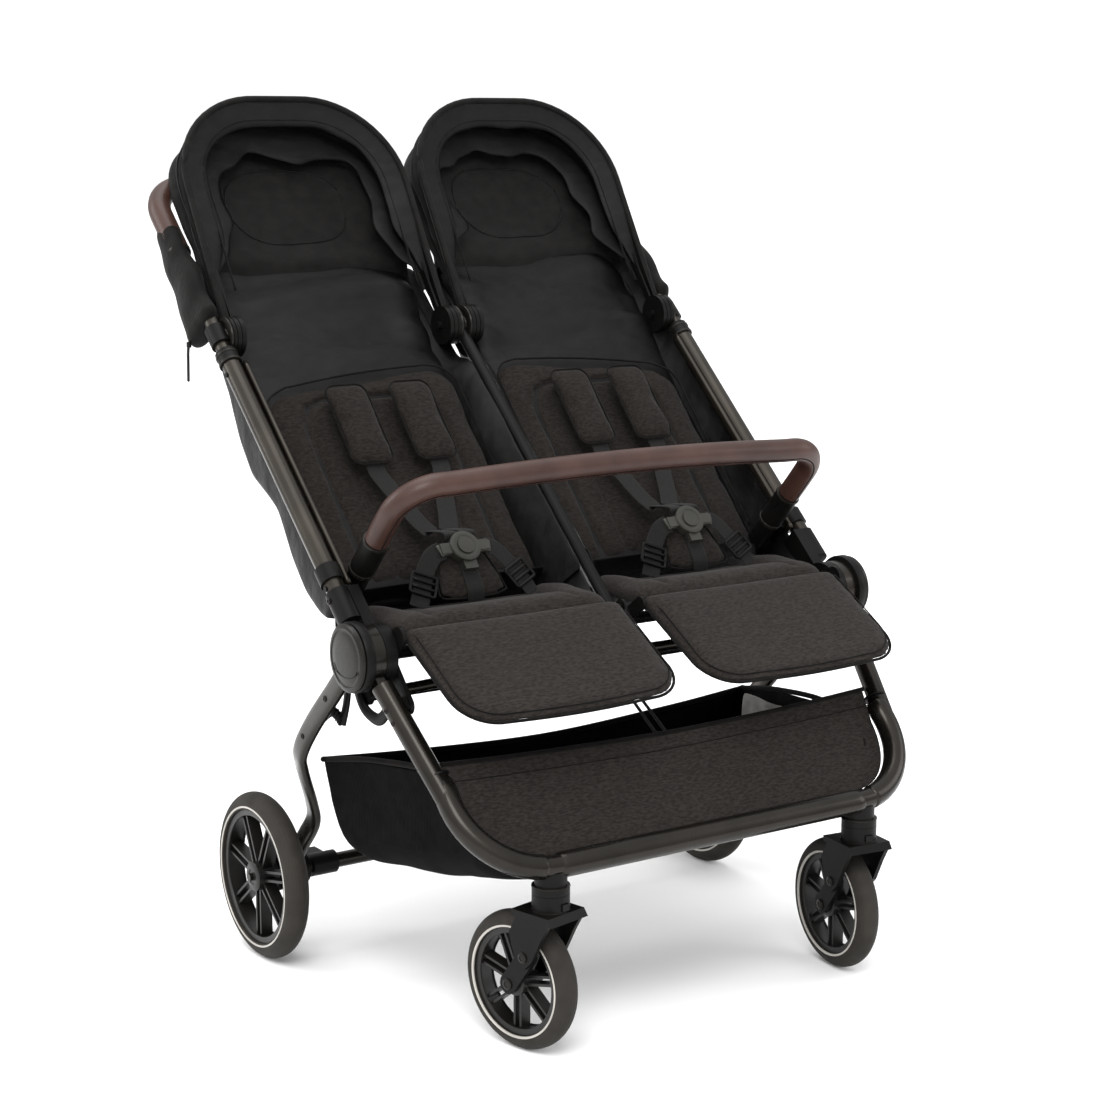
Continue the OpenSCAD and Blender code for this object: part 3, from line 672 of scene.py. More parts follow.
# each panel: name, material, seed, fold depth, bodies, blend angles, replaced node, flat size, cut area, arches
HOOD_PANELS = (
    ("front_lining", "shiny", 11, 0.003, ("mid", "front"), (11.8, 15.4), False, (0.84, 0.075), 0.051,
     [(17.4, 0.0, 0), (17.0, 0.006, 0.1), (16.5, 0.015, 0.2), (15.9, 0.027, 0.2), (15.4, 0.034, 0.4),
      (14.6, 0.036, 0.8), (13.7, 0.030, 1), (12.9, 0.016, 1), (12.2, 0.004, 0.5), (11.6, -0.0, 0.3)]),
    ("front_cover", "hood", 21, 0.003, ("mid", "front"), (12, 16.5), True, (0.86, 0.045), 0.029,
     [(17.6, -0.001, 0), (17.0, -0.003, 0.3), (15.6, 0.001, 0.6), (14.3, 0.010, 1), (13.4, 0.013, 1),
      (12.6, 0.004, 0.7), (11.9, -0.004, 0.3), (11.3, -0.0045, 0.1)]),
    ("mid_lining", "shiny", 31, 0.008, ("up", "mid"), (5.5, 11.2), False, (0.82, 0.11), 0.070,
     [(11.9, -0.004, 0.1), (11.0, 0.002, 0.5), (10.2, 0.022, 1), (9.4, 0.048, 1.3), (8.8, 0.060, 1.4),
      (8.1, 0.054, 1.5), (7.2, 0.032, 1.3), (6.3, 0.014, 0.9), (5.2, 0.008, 0.4)]),
    ("mid_cover", "hood", 41, 0.005, ("up", "mid"), (5.0, 11.0), True, (0.84, 0.055), 0.035,
     [(12.0, -0.005, 0.1), (11.2, -0.005, 0.3), (10.0, 0.004, 0.8), (8.6, 0.012, 1.2), (7.2, 0.009, 1.2),
      (5.8, -0.001, 0.8), (4.4, -0.004, 0.5), (3.4, 0.0, 0.3)]),
)


def build_hood(side, tag):
    bodies = {"up": "upper_frame", "mid": "hood_mid_" + tag, "front": "hood_front_" + tag}
    for name, phi, points, r, mat, m in (("rim", 17.2, arch(0.001), 0.0046, "hood", 12),
                                         ("hem", 15.8, arch(0.0285)[4:-4], 0.0012, "piping", 8)):
        o = tube("hood_%s_%s" % (name, tag), [hood_at(side, phi, d, y) for d, y in points], r, mat, m)
        finish_piece(o, bodies["front"], "hood_fabric")
    for name, mat, seed, fold, (rear, front), angles, replaces, flat, area_m2, stations in HOOD_PANELS:
        o = hood_panel("hood_%s_%s" % (name, tag), side, stations, mat, seed + side, fold)
        node_name = "hood_%s_fabric_%s" % (name.split("_")[0], tag)
        finish_piece(o, (bodies[rear], bodies[front], *[hood_at(side, phi, HR, 0) for phi in angles]),
                     "hood_fabric", *([node_name] if replaces else []), sheet=dict(flat=flat, held="gathered",
                area=area_m2))
    # rear panel: from the rear arch down in front of the handle to the top of the seat back
    nv = 26
    P = np.zeros((N_ARCH, nv, 3))
    for i, (d, y) in enumerate(arch(0.012, foot=0.0)):
        s_top, o_top = HOOD_S + d * cos(radians(4)), 0.004 + 0.020 * step(d, 0.1, 0.3)
        for j in range(nv):
            v = j / (nv - 1)
            s = s_top + (min(s_top, 0.602) - s_top) * v
            o = o_top + (-0.003 - o_top) * step(v, 0.15, 0.85) - 0.024 * step(0.640 - s, 0.0, 0.032)
            P[i, j] = U(side * HOOD_X + y, s, o)
    rip = ripple(P, 51 + side, 0.1) * 0.0032 + ripple(P * vec(0.5, 1, 1), 56 + side, 0.045) * 0.0016
    P += AHEAD * rip[..., None]
    # the seam of the window flap, laid on the panel
    flat, seam = P.reshape(-1, 3), []
    for a in np.linspace(0.35, 2 * pi + 0.35 - 0.15, 60):
        c, sn = cos(a), sin(a)
        want = U(side * HOOD_X + 0.088 * np.sign(c) * abs(c) ** 0.75,
                 0.722 + 0.058 * np.sign(sn) * abs(sn) ** 0.85)
        gap = flat - want
        gap -= np.outer(gap @ AHEAD, AHEAD)
        w = 1 / (np.linalg.norm(gap, axis=1) ** 2 + 1e-5) ** 2
        seam.append(want + AHEAD * ((w * ((flat - want) @ AHEAD)).sum() / w.sum() + 0.0012))
    o = tube("hood_flap_seam_" + tag, smooth_path(seam, 120), 0.0011, "shiny", 8)
    finish_piece(o, "upper_frame", "hood_fabric")
    finish_piece(cloth("hood_rear_panel_" + tag, P, CLOTH_T, "hood"), "upper_frame", "hood_fabric",
                 sheet=dict(flat=(0.33, 0.30), held="stretched", area=0.065))


# ---------------------------------------------------------------- seats
def back_out(s):
    """How far the front of a seat back lies ahead of the tubes."""
    return np.interp(s, [0.106, 0.46, 0.64], [-0.053, -0.020, -0.010])


def back_rear(s):
    return np.interp(s, [0.104, 0.13, 0.17, 0.22, 0.26, 0.285, 0.31, 0.36, 0.41, 0.46, 0.55, 0.645],
                     [-0.084, -0.100, -0.112, -0.108, -0.096, -0.090, -0.098, -0.116, -0.108, -0.088, -0.058,
                      -0.036])


def build_back(side, tag):
    n, m = 56, 44
    ss = np.linspace(0.105, 0.642, n)
    ang = np.linspace(0, 2 * pi, m, endpoint=False)
    P = np.zeros((n, m, 3))
    for i, s in enumerate(ss):
        f, r = back_out(s), back_rear(s)
        end = 1 - 0.75 * step(s, 0.632, 0.642) - 0.5 * (1 - step(s, 0.105, 0.118))
        for j, a in enumerate(ang):
            c, sn = cos(a), sin(a)
            x = 0.1815 + (0.1515 if c > 0 else 0.1535) * np.sign(c) * abs(c) ** 0.26
            o = (f + r) / 2 + (f - r) / 2 * end * np.sign(sn) * abs(sn) ** 0.34
            P[i, j] = U(side * x, s, o)
    rip = ripple(P, 61 + side, 0.12) * 0.0022 + ripple(P, 66 + side, 0.045) * 0.0009
    upper = step(ss, 0.44, 0.50)[:, None]
    wild = ripple(P * vec(0.45, 1, 1), 81 + side, 0.05) * 0.0058
    wild += ripple(P * vec(1, 0.6, 0.6), 85 + side, 0.07) * 0.0044
    P += AHEAD * (rip * (0.3 + 0.7 * upper) + upper * wild)[..., None]
    o = soften(make("seat_back_shell_" + tag, P.reshape(-1, 3), shell_faces(n, m), "shiny"))
    finish_piece(o, "seat_back_" + tag, "seat_fabric", "seat_back_" + tag, pad_fill=0.4)
    # wing: sheet from the tube's inner side to the seat back's outer edge
    W = ruled([(U(side * 0.3425, s, 0.001), U(side * 0.322, s, back_out(s) - 0.012))
               for s in np.linspace(0.10, 0.635, 40)], 7, vec(side * 0.003, 0, 0))
    W[..., 0] += side * ripple(W, 71 + side, 0.06) * 0.0012
    w = cloth("seat_wing_" + tag, W, CLOTH_T, "shiny")
    finish_piece(w, ("upper_frame", "seat_back_" + tag, W[20, 0], W[20, 6]), "seat_fabric",
                 sheet=dict(flat=(0.54, 0.07), held="stretched", area=0.028))


def insert_back():
    """The melange padding on the front of the right seat back."""
    nu, nv = 57, 49
    u = np.linspace(-1, 1, nu)
    v = np.linspace(0, 1, nv)
    B = np.zeros((nu, nv, 3))
    h = np.zeros((nu, nv))
    for i in range(nu):
        for j in range(nv):
            s = 0.122 + (0.316 - 0.012 * u[i]) * v[j] + 0.006 * (1 - u[i] ** 2) * v[j]
            w = 0.147 * (1 - 0.17 * max(0.0, (v[j] - 0.88) / 0.12) ** 2.6)
            x = 0.177 + w * u[i]
            B[i, j] = U(x, s, back_out(s) + 0.0005)
            e = (1 - abs(u[i]) ** 10) ** 0.5 * (1 - abs(2 * v[j] - 1) ** 14) ** 0.5
            wing = step(abs(u[i]), 0.62, 0.86) * (1 - 0.62 * step(v[j], 0.35, 0.95))
            h[i, j] = 0.0065 + e * (0.0135 + 0.020 * wing)
    return B[:, ::-1], h[:, ::-1]


def groove(o, lines, width, depth, axis):
    """Presses sewn channels into a pad: lines are (point, direction, length)."""
    press = np.array(axis, float) / np.linalg.norm(axis)

    def fn(co):
        total = np.zeros(len(co))
        for p, d, length in lines:
            p, d = np.array(p, float), np.array(d, float)
            d /= np.linalg.norm(d)
            along = (co - p) @ d
            off = co - p - along[:, None] * d
            off = np.linalg.norm(off - np.outer(off @ press, press), axis=1)
            total += np.exp(-(off / width) ** 2) * step(along, -0.006,
                                                        0.006) * (1 - step(along, length - 0.006,
                    length + 0.006))
        return np.array(axis, float) * (-depth * np.minimum(total, 1))[:, None]
    return shift(o, fn)


def rounded_loop(half_w, half_l, corner, n=96):
    """Points round a rounded rectangle."""
    pts = []
    for cx, cy, a0 in ((1, 1, 0), (-1, 1, 90), (-1, -1, 180), (1, -1, 270)):
        for k in range(n // 4):
            a = radians(a0 + 90 * k / (n // 4 - 1))
            pts.append((cx * (half_w - corner) + corner * cos(a),
                        cy * (half_l - corner) + corner * sin(a)))
    return pts


def rounded_pad(name, loop, thick, mat, place, rings=12, power=5.0, centre=(0, 0), edge=0.0):
    """A pad domed on both sides of its outline, from nested loops. place(x, y, z) puts it in space."""
    loop, c = np.array(loop, float), np.array(centre, float)
    n = len(loop)
    rows = [(k / rings, 1) for k in range(1, rings + 1)] + [(k / rings, -1) for k in range(rings, 0, -1)]
    verts = []
    for f, sign in rows:
        z = sign * thick / 2 * max(edge + 0.001, 1 - f ** power) ** 0.5
        verts += [place(*(c + (p - c) * f), z) for p in loop]
    faces = grid_faces(len(rows), n, wrap_v=True)
    verts += [place(*c, thick / 2), place(*c, -thick / 2)]
    a, last = len(verts) - 2, (len(rows) - 1) * n
    for j in range(n):
        faces += [(j, (j + 1) % n, a), (last + j, last + (j + 1) % n, a + 1)]
    return make(name, verts, faces, mat)


def build_calf_rest():
    """The right calf rest: a padded flap with a sewn edge, on its own rod."""
    t = radians(29)
    hinge = vec(0, -0.210, 0.476)
    down = vec(0, -cos(t), -sin(t))
    up = vec(0, -sin(t), cos(t))

    def place(x, y, z):
        thin = 1 - 0.42 * step(y, 0.03, 0.16)
        return hinge + vec(1, 0, 0) * x + down * y + up * (z * thin + 0.0012 + 0.0035 * (1 - thin))

    x0, x1, y0, y1, r, q = 0.0165, 0.3255, -0.010, 0.1645, 0.05, 0.012
    loop, last = [], (x0 + q, y0)
    # each corner: its middle, radius, start angle, points before it and in it, bow of the edge before it
    for cx, cy, cr, start, before, count, bow in ((x1 - q, y0 + q, q, 0, 20, 8, 0),
                                                  (x1 - r, y1 - r, r, 90, 10, 14, 0),
                                                  (x0 + r, y1 - r, r, 180, 20, 14, 0.004),
                                                  (x0 + q, y0 + q, q, 270, 10, 8, 0)):
        turn = [(cx + cr * sin(a), cy - cr * cos(a))
                for a in radians(start) + np.arange(count + 1) / count * pi / 2]
        for k in range(before):
            f = k / before
            loop.append((last[0] + (turn[0][0] - last[0]) * f,
                         last[1] + (turn[0][1] - last[1]) * f + bow * sin(pi * f)))
        loop, last = loop + turn[:-1], turn[-1]
    c = vec((x0 + x1) / 2, 0.077)
    o = rounded_pad("calf_rest_pad_right", loop, 0.019, "melange", place, 14, 7, c, 0.24)
    o = inflate(o, 0.004, 0.003)
    edge = [c + (np.array(p) - c) * vec(0.945, 0.905) for p in loop[28:96]]
    rim = [place(*(c + (np.array(p) - c) * vec(0.988, 0.982)), -0.001) for p in loop]
    return o, [place(x, y, 0.0093) + up * 0.0004 for x, y in edge], rim


def build_pan():
    """The right seat cushion, with its side bolsters."""
    nu, nv = 53, 45
    B, h = np.zeros((nu, nv, 3)), np.zeros((nu, nv))
    for i in range(nu):
        u = -1 + 2 * i / (nu - 1)
        for j in range(nv):
            v = j / (nv - 1)                      # front to back
            base = 0.468 - 0.016 * step(v, 0.0, 0.9) - 0.010 * (1 - step(v, 0.0, 0.12))
            e = (1 - abs(u) ** 12) ** 0.5 * (1 - abs(2 * v - 1) ** 12) ** 0.5
            wing = step(abs(u), 0.68, 0.9) * step(v, 0.1, 0.7)
            B[i, j] = (MID + 0.149 * u, -0.199 + 0.128 * v, base)
            h[i, j] = 0.003 + e * (0.0235 + 0.016 * wing - 0.004 * v)
    return B, h


def pair(o, body, slot, *replaced, **more):
    """Finishes a piece of the right seat and its mirror image. Names in replaced have no side."""
    for q, tag, k in ((o, "right", 1), (mirrored(o, o.name.replace("_right", "_left")), "left", -1)):
        if isinstance(body, str):
            b = body.replace("@", tag)
        else:
            b = [n.replace("@", tag) for n in body[:2]] + [p * vec(k, 1, 1) for p in body[2:]]
        finish_piece(q, b, slot, *[r.replace("@", tag) for r in replaced], **more)


# ---------------------------------------------------------------- soft goods
for side, tag in ((-1, "left"), (1, "right")):
    build_hood(side, tag)
    build_back(side, tag)

B, h = insert_back()
# the insert wears the darkened melange, which is painted shade
ins = inflate(pad("seat_insert_right", B, h, "melange_back", levels=0), 0.0055, 0.004)
for k in (-1, 1):
    groove(ins, [(U(MID + 0.002 + k * 0.060, 0.128, back_out(0.128) + 0.015), ALONG + AHEAD * 0.09, 0.262)],
           0.0036, 0.0030, AHEAD)
half = [(-0.100, 0.13), (-0.100, 0.372), (-0.088, 0.398), (-0.066, 0.408)]
knots = [U(MID + 0.002 + x, s, back_out(s) + 0.016 - 0.006 * (abs(x) < 0.07)) for x,
         s in half + [(-x, s) for x, s in half[::-1]]]
groove(ins, [(a, b - a, float(np.linalg.norm(b - a))) for a, b in zip(knots, knots[1:])], 0.0048, 0.0062,
       AHEAD)
shift(ins, lambda co: AHEAD * (ripple(co, 91, 0.13) * 0.0012 + ripple(co, 93, 0.05) * 0.0006)[:, None])
edge = np.concatenate([B[0, ::-1][2:-1], B[1:-1, 0], B[-1][1:-2]])
mid = B.reshape(-1, 3).mean(axis=0)
edge = smooth_path([e + (mid - e) * vec(0.016, 0.010, 0.010) + AHEAD * 0.0062 for e in edge[::3]], 160)
pair(ins, "seat_back_@", "seat_fabric", pad_fill=0.5)
pair(tube("insert_piping_right", edge, 0.0016, "piping", 8), "seat_back_@", "seat_fabric")

# fabric sleeve over each handle tube behind the hood, and its hanging zip pull
n, m = 34, 28
V = []
for i, s_ in enumerate(np.linspace(0.528, 0.700, n)):
    v = i / (n - 1)
    c_out = -0.015 * (1 - v) - 0.003
    deep, wide = 0.037 - 0.019 * v, 0.0175 - 0.001 * v
    pinch = 1 - 0.30 * (1 - min(1, v / 0.06)) - 0.12 * step(v, 0.93, 1.0)
    for j in range(m):
        a = 2 * pi * j / m
        V.append(U(0.3585 - 0.003 * v + wide * pinch * cos(a), s_, c_out + deep * pinch * sin(a)))
V = np.array(V)
away = V.reshape(n, m, 3) - V.reshape(n, m, 3).mean(axis=1, keepdims=True)
V += (away * (ripple(V.reshape(n, m, 3), 131, 0.04) * 0.10)[..., None]).reshape(-1, 3)
V[:, 0] = np.minimum(V[:, 0], 0.3795)
sleeve = soften(make("hood_sleeve_right", V, shell_faces(n, m), "hood"))
pair(sleeve, "upper_frame", "hood_fabric", pad_fill=0.2)
top = U(0.3735, 0.533, -0.040)
pull = [top, top + vec(0.001, 0.001, -0.012), top + vec(0.0008, 0.002, -0.028),
        top + vec(0.0012, 0.002, -0.050)]
pair(strap("zip_pull_right", smooth_path(pull, 14), 0.0052, 0.0024, "webbing", (0, 1, 0)), "upper_frame",
     "hood_fabric")
pair(lathe("zip_slider_right", [(-0.004, 0.0018), (-0.003, 0.0032), (0.003, 0.0032), (0.004, 0.0018)],
           top + vec(0, 0, -0.002), (0, 0, 1), "gloss", 20), "upper_frame", "dark_plastic")

# cloth that closes the gap between each seat back and its cushion
F = ruled([(vec(x, -0.068, 0.506), vec(x, -0.056, 0.444)) for x in np.linspace(0.034, 0.328, 25)],
          12, vec(0, 0.008, 0))
F += ripple(F, 141, 0.06)[..., None] * vec(0, 0.0015, 0)
pair(cloth("seat_hinge_cloth_right", F, SKIRT_T, "shiny"), "seat_back_@", "seat_fabric",
     sheet=dict(flat=(0.30, 0.07), held="hung", area=0.021))
for name, x, out, foot_x, foot_z, run, foot_run, bulge, wide in (
        ("_inner", 0.0092, -0.004, 0.0285, 0.472, 0.116, 0.104, 0, 0.12),
        ("", 0.3405, -0.006, 0.3215, 0.476, 0.10, 0.094, 0.002, 0.11)):
    F = ruled([(U(x, 0.012 + run * t, out), vec(foot_x, -0.158 + foot_run * t, foot_z))
               for t in np.linspace(0, 1, 16)], 8, vec(0, 0, bulge))
    o = cloth("seat_skirt%s_right" % name, F, SKIRT_T, "shiny")
    pair(o, ("chassis", "upper_frame", F[8, 7], F[8, 0]), "seat_fabric",
         sheet=dict(flat=(wide, 0.055), held="stretched", area=0.004))

B, h = build_pan()
pan = inflate(pad("seat_pad_right", B, h, "melange", levels=0), 0.005, 0.0035)
groove(pan, [((MID + k * 0.104, -0.19, 0.49), (0, 1, -0.05), 0.12) for k in (-1, 1)], 0.005, 0.004, (0, 0, 1))
pair(pan, "chassis", "seat_fabric", "seat_cushions", pad_fill=0.5)

rest, line, rim = build_calf_rest()
pair(rest, "calf_rest_@", "seat_fabric", "calf_rest_@", pad_fill=0.4)
pair(tube("calf_rest_seam_right", line, 0.0009, "piping", 8), "calf_rest_@", "seat_fabric")
pair(tube("calf_rest_piping_right", rim, 0.0019, "piping", 8, closed=True), "calf_rest_@", "seat_fabric")

loop = rounded_loop(0.0305, 0.062, 0.014, 88)
for k, nm in ((-1, "inner"), (1, "outer")):
    def place(x, y, z, k=k):
        s = 0.345 + y
        return U(MID + k * 0.0465 + x, s, back_out(s) + 0.0285 + z + 0.002 * cos(x * 40))
    o = inflate(rounded_pad("shoulder_pad_%s_right" % nm, loop, 0.015, "melange_back", place, 9, 6), 0.004,
                0.003)
    pair(o, "seat_back_@", "seat_fabric", *(["shoulder_pads_@"] if k > 0 else []), pad_fill=0.4)
    rim = [place(x * 0.97, y * 0.985, 0.0012) for x, y in loop]
    pair(tube("shoulder_piping_%s_right" % nm, rim, 0.0013, "piping", 8, closed=True), "seat_back_@",
         "seat_fabric")
    pts = [(0.0415, 0.402, 0.0245), (0.0415, 0.385, 0.0265), (0.0415, 0.345, 0.0275), (0.0415, 0.285, 0.0262),
           (0.040, 0.268, 0.026), (0.034, 0.235, 0.027), (0.022, 0.195, 0.030), (0.012, 0.172, 0.034)]
    path = smooth_path([U(MID + k * (x + 0.005 * (s > 0.26)), s, back_out(s) + o_) for x, s, o_ in pts], 40)
    w = strap("shoulder_strap_%s_right" % nm, path, 0.026, WEB_T, "webbing", X)
    pair(w, "seat_back_@", "seat_fabric")

# crotch pad, buckle details and hip straps ride with the harness on the upper frame
C38, S38 = cos(radians(38)), sin(radians(38))
BY, BZ = -0.120, 0.487


def K(x, out, up):
    """A point in the frame of the right buckle: across, out of the seat, up the crotch pad."""
    return vec(MID + x, BY - out * C38 + up * S38, BZ + out * S38 + up * C38)


K_UP, K_OUT = K(0, 0, 1) - K(0, 0, 0), K(0, 1, 0) - K(0, 0, 0)
half = [(0.048, 0.006), (0.044, 0.03), (0.035, 0.058), (0.022, 0.066)]
loop = [(-x, y) for x, y in half] + [(0, 0.067)] + half[::-1] + [(0.03, 0.001), (0, 0.0), (-0.03, 0.001),
        (-0.048, 0.006)]
loop = smooth_path(loop, 80)[:-1]
o = rounded_pad("crotch_pad_right", loop, 0.010, "melange_back", lambda x, y, z: K(x, 0.006 + z, y), 9, 6,
                (0, 0.033))
pair(inflate(o, 0.004, 0.003), "upper_frame", "seat_fabric", "crotch_pads", pad_fill=0.5)
rim = [K(x * 0.985, 0.006, 0.033 + (y - 0.033) * 0.985) for x, y in loop]
pair(tube("crotch_piping_right", rim, 0.0013, "piping", 8, closed=True), "upper_frame", "seat_fabric")
pts = [K(0, 0.004, -0.004), K(0, 0.0125, 0.008), K(0, 0.0145, 0.03), K(0, 0.017, 0.045)]
pair(strap("crotch_strap_right", smooth_path(pts, 16), 0.024, WEB_T, "webbing", X), "upper_frame",
     "seat_fabric")
for k, nm in ((-1, "inner"), (1, "outer")):
    pts = [K(k * 0.030, 0.019, 0.062), K(k * 0.046, 0.017, 0.056), K(k * 0.062, 0.012, 0.036),
           K(k * 0.074, 0.010, 0.012), K(k * 0.082, 0.006, -0.004)]
    side = K_UP + 0.7 * vec(k, 0, 0)
    pair(strap("hip_strap_%s_right" % nm, smooth_path(pts, 26), 0.024, WEB_T, "webbing", side), "upper_frame",
         "seat_fabric")
    c = K(k * 0.069, 0.0135, 0.022)
    d = K(k * 0.074, 0.010, 0.012) - K(k * 0.062, 0.012, 0.036)
    d /= np.linalg.norm(d)
    a = np.cross(K_OUT, d)
    frame_path = [c + a * x + d * y for x, y in rounded_loop(0.0165, 0.0135, 0.003, 40)]
    pair(tube("ladder_lock_%s_right" % nm, frame_path, 0.0021, "plastic", 8, closed=True), "upper_frame",
         "buckle_plastic")
    for n_, off in enumerate((-0.0045, 0.0045)):
        bar = [c + a * x + d * off for x in np.linspace(-0.0155, 0.0155, 5)]
        pair(tube("ladder_bar_%s_%d_right" % (nm, n_), bar, 0.0022, "plastic", 8), "upper_frame",
             "buckle_plastic")
    tip = [K(k * 0.018, 0.0185, 0.062), K(k * 0.028, 0.0195, 0.062), K(k * 0.037, 0.019, 0.060)]
    pair(strap("buckle_tongue_%s_right" % nm, smooth_path(tip, 10), 0.017, 0.007, "buckle", K_UP),
         "upper_frame", "buckle_plastic")
    pts = [U(MID + k * 0.012, 0.176, back_out(0.17) + 0.034), K(k * 0.012, 0.020, 0.085),
           K(k * 0.013, 0.0195, 0.075)]
    pair(strap("strap_end_%s_right" % nm, smooth_path(pts, 12), 0.02, WEB_T, "webbing", X), "upper_frame",
         "seat_fabric")
ring = lathe("buckle_ring_right", [(0.0245, 0.0125), (0.0262, 0.0135), (0.0268, 0.0165), (0.0262, 0.0195),
                                   (0.0245, 0.0205)], K(0, 0, 0.062), K_OUT, "buckle")
pair(ring, "upper_frame", "buckle_plastic")

# divider between the seats, from the centre post back to each seat's inner edge
rows = []
for s in np.linspace(0.083, 0.635, 42):
    over = step(s, 0.435, 0.474)
    rows.append((U(0.0095 - 0.0075 * over, s, 0.002 - 0.031 * over), U(0.042, s, back_out(s) - 0.014)))
D = ruled(rows, 9, AHEAD * 0.005)
D[..., 0] += ripple(D, 77, 0.07) * 0.0012
w = cloth("divider_right", D, CLOTH_T, "shiny")
pair(w, ("upper_frame", "seat_back_@", D[20, 0], D[20, 8]), "seat_fabric", sheet=dict(flat=(0.53, 0.07),
        held="stretched", area=0.03))

# ---------------------------------------------------------------- bumper bar
half = []
for x in (0.0, 0.07, 0.14, 0.20, 0.245):
    half.append((x, 0.1655 - 0.0095 * (x / 0.245) ** 2))
for a in range(0, 91, 9):
    r = radians(a)
    half.append((0.264 + 0.049 * sin(r), 0.107 + 0.048 * cos(r) + 0.0005))
half += [(0.3135, 0.09), (0.3135, 0.074), (0.3132, 0.0595)]
pts = [U(-x, BAR_S, o) for x, o in reversed(half[1:])] + [U(x, BAR_S, o) for x, o in half]
path = smooth_path(pts, 150)
o = sweep("bumper_leather", path, ring_section(0.0152, 28, 0.0148), "leather", ALONG, levels=1)
finish_piece(o, "bumper", "brown_leather", "bumper_bar")
under = np.array([p - ALONG * 0.0149 + AHEAD * -0.001 for p in path])
finish_piece(tube("bumper_stitching", under, 0.0009, "piping", 6), "bumper", "brown_leather")
for side, tag in ((-1, "left"), (1, "right")):
    c = U(side * 0.313, BAR_S)
    o = lathe("bumper_ring_" + tag, [(0.0555, 0.0150), (0.0562, 0.0166), (0.0585, 0.0169), (0.0598, 0.0164),
                                     (0.0602, 0.0150)], c, AHEAD, "gloss")
    finish_piece(o, "bumper", "dark_plastic")
    o = lathe("bumper_band_" + tag, [(0.003, 0.0158), (0.0036, 0.0164), (0.0085, 0.0166), (0.0092, 0.0158)],
              c, AHEAD, "gloss")
    finish_piece(o, "bumper", "dark_plastic")

# ---------------------------------------------------------------- basket
def build_basket():
    ny, nr = 30, 75
    P = np.zeros((ny, nr, 3))
    for i in range(ny):
        v = i / (ny - 1)                                   # front to back
        y = -0.353 + 0.330 * v
        w = 0.296 + 0.030 * step(v, 0.35, 1.0) - 0.035 * (1 - step(v, 0, 0.16))
        top = np.interp(v, [0, 0.12, 0.35, 0.7, 1.0], [0.236, 0.290, 0.316, 0.306, 0.288])
        floor = np.interp(v, [0, 0.06, 0.3, 0.6, 0.85, 0.96, 1.0], [0.226, 0.205, 0.182, 0.166, 0.160, 0.168,
                0.200])
        r = min(0.05, (top - floor) * 0.45)
        run = [(-w, top), (-w * 0.985, floor + r)]
        run += [(-w * 0.985 + r * (1 - cos(a)), floor + r * (1 - sin(a))) for a in np.linspace(0.25, 1.57, 6)]
        run += [(x, floor - 0.006 * cos(x / w * 1.5)) for x in np.linspace(-w * 0.7, w * 0.7, 9)]
        run += [(-x, z) for x, z in reversed(run[:8])]
        c = smooth_path([(x, z, 0) for x, z in run], nr)
        P[i, :, 0], P[i, :, 1], P[i, :, 2] = c[:, 0], y, c[:, 1]
    # the back wall closes the bag: the last rows lean in and rise
    back = []
    for k in range(1, 9):
        v = k / 8
        row = P[-1].copy()
        zt = 0.288 - 0.020 * np.clip(1 - (row[:, 0] / 0.3) ** 2, 0, 1)
        row[:, 2] = row[:, 2] + (zt - row[:, 2]) * v
        row[:, 1] += 0.004 * sin(pi * v)
        back.append(row)
    P = np.concatenate([P, np.array(back)])
    rip = ripple(P, 101, 0.12) * 0.003 + ripple(P, 105, 0.05) * 0.0011
    P += normals(P) * rip[..., None]
    return cloth("basket_bag", P, 0.002, "bag")


bag = build_basket()
finish_piece(bag, "chassis", "basket_fabric", "basket", sheet=dict(flat=(0.86, 0.58), held="hung", area=0.36))
lining = ruled([(vec(0.278, y, 0.222), vec(0.288, y, 0.297)) for y in np.linspace(-0.215, -0.075, 14)], 10)
lining += ripple(lining, 111, 0.05)[..., None] * vec(0.002, 0, 0.001)
finish_piece(cloth("basket_lining", lining, 0.0014, "lining"), "chassis", "basket_fabric",
             sheet=dict(flat=(0.15, 0.08), held="hung"))
# hem round the bag's mouth
mouth = [(-0.262, -0.350, 0.238), (-0.292, -0.31, 0.291), (-0.297, -0.24, 0.316), (-0.314, -0.12, 0.306),
         (-0.326, -0.028, 0.288), (-0.318, -0.0235, 0.2865), (-0.2, -0.0225, 0.277)]
mouth += [(0, -0.022, 0.268)] + [(-x, y, z) for x, y, z in mouth[::-1]]
finish_piece(tube("basket_hem", smooth_path(mouth, 150), 0.0036, "piping", 10), "chassis", "basket_fabric")

# melange front panel in the plane of the front frame
nu, nv = 61, 25
P = np.zeros((nu, nv, 3))
for i in range(nu):
    u = -1 + 2 * i / (nu - 1)
    for j in range(nv):
        v = j / (nv - 1)
        l = 0.152 + 0.136 * v
        edge = 0.357 - l * LEAN - 0.016
        if l > CORNER_L:
            edge = CORNER_X + sqrt(max(0, 0.086 ** 2 - (l - CORNER_L) ** 2))
        sag = 0.010 * (1 - u * u) * (1 - v) + 0.004 * sin(pi * v)
        P[i, j] = L(u * edge, l + 0.006 * (1 - u * u) * (1 - v), -0.004 - sag)
P += L_OUT * (ripple(P, 121, 0.16) * 0.0016)[..., None]
finish_piece(cloth("basket_front_cloth", P, 0.0022, "melange"), "chassis", "seat_fabric",
             "basket_front_panel", sheet=dict(flat=(0.64, 0.145), held="stretched", area=0.082))
hem = P[:, 0] + L_OUT * 0.001
finish_piece(tube("basket_front_hem", hem, 0.0030, "piping", 10), "chassis", "seat_fabric")
finish_piece(tube("basket_front_stitch", P[:, 4] + L_OUT * 0.0014, 0.0006, "piping", 6), "chassis",
             "seat_fabric")
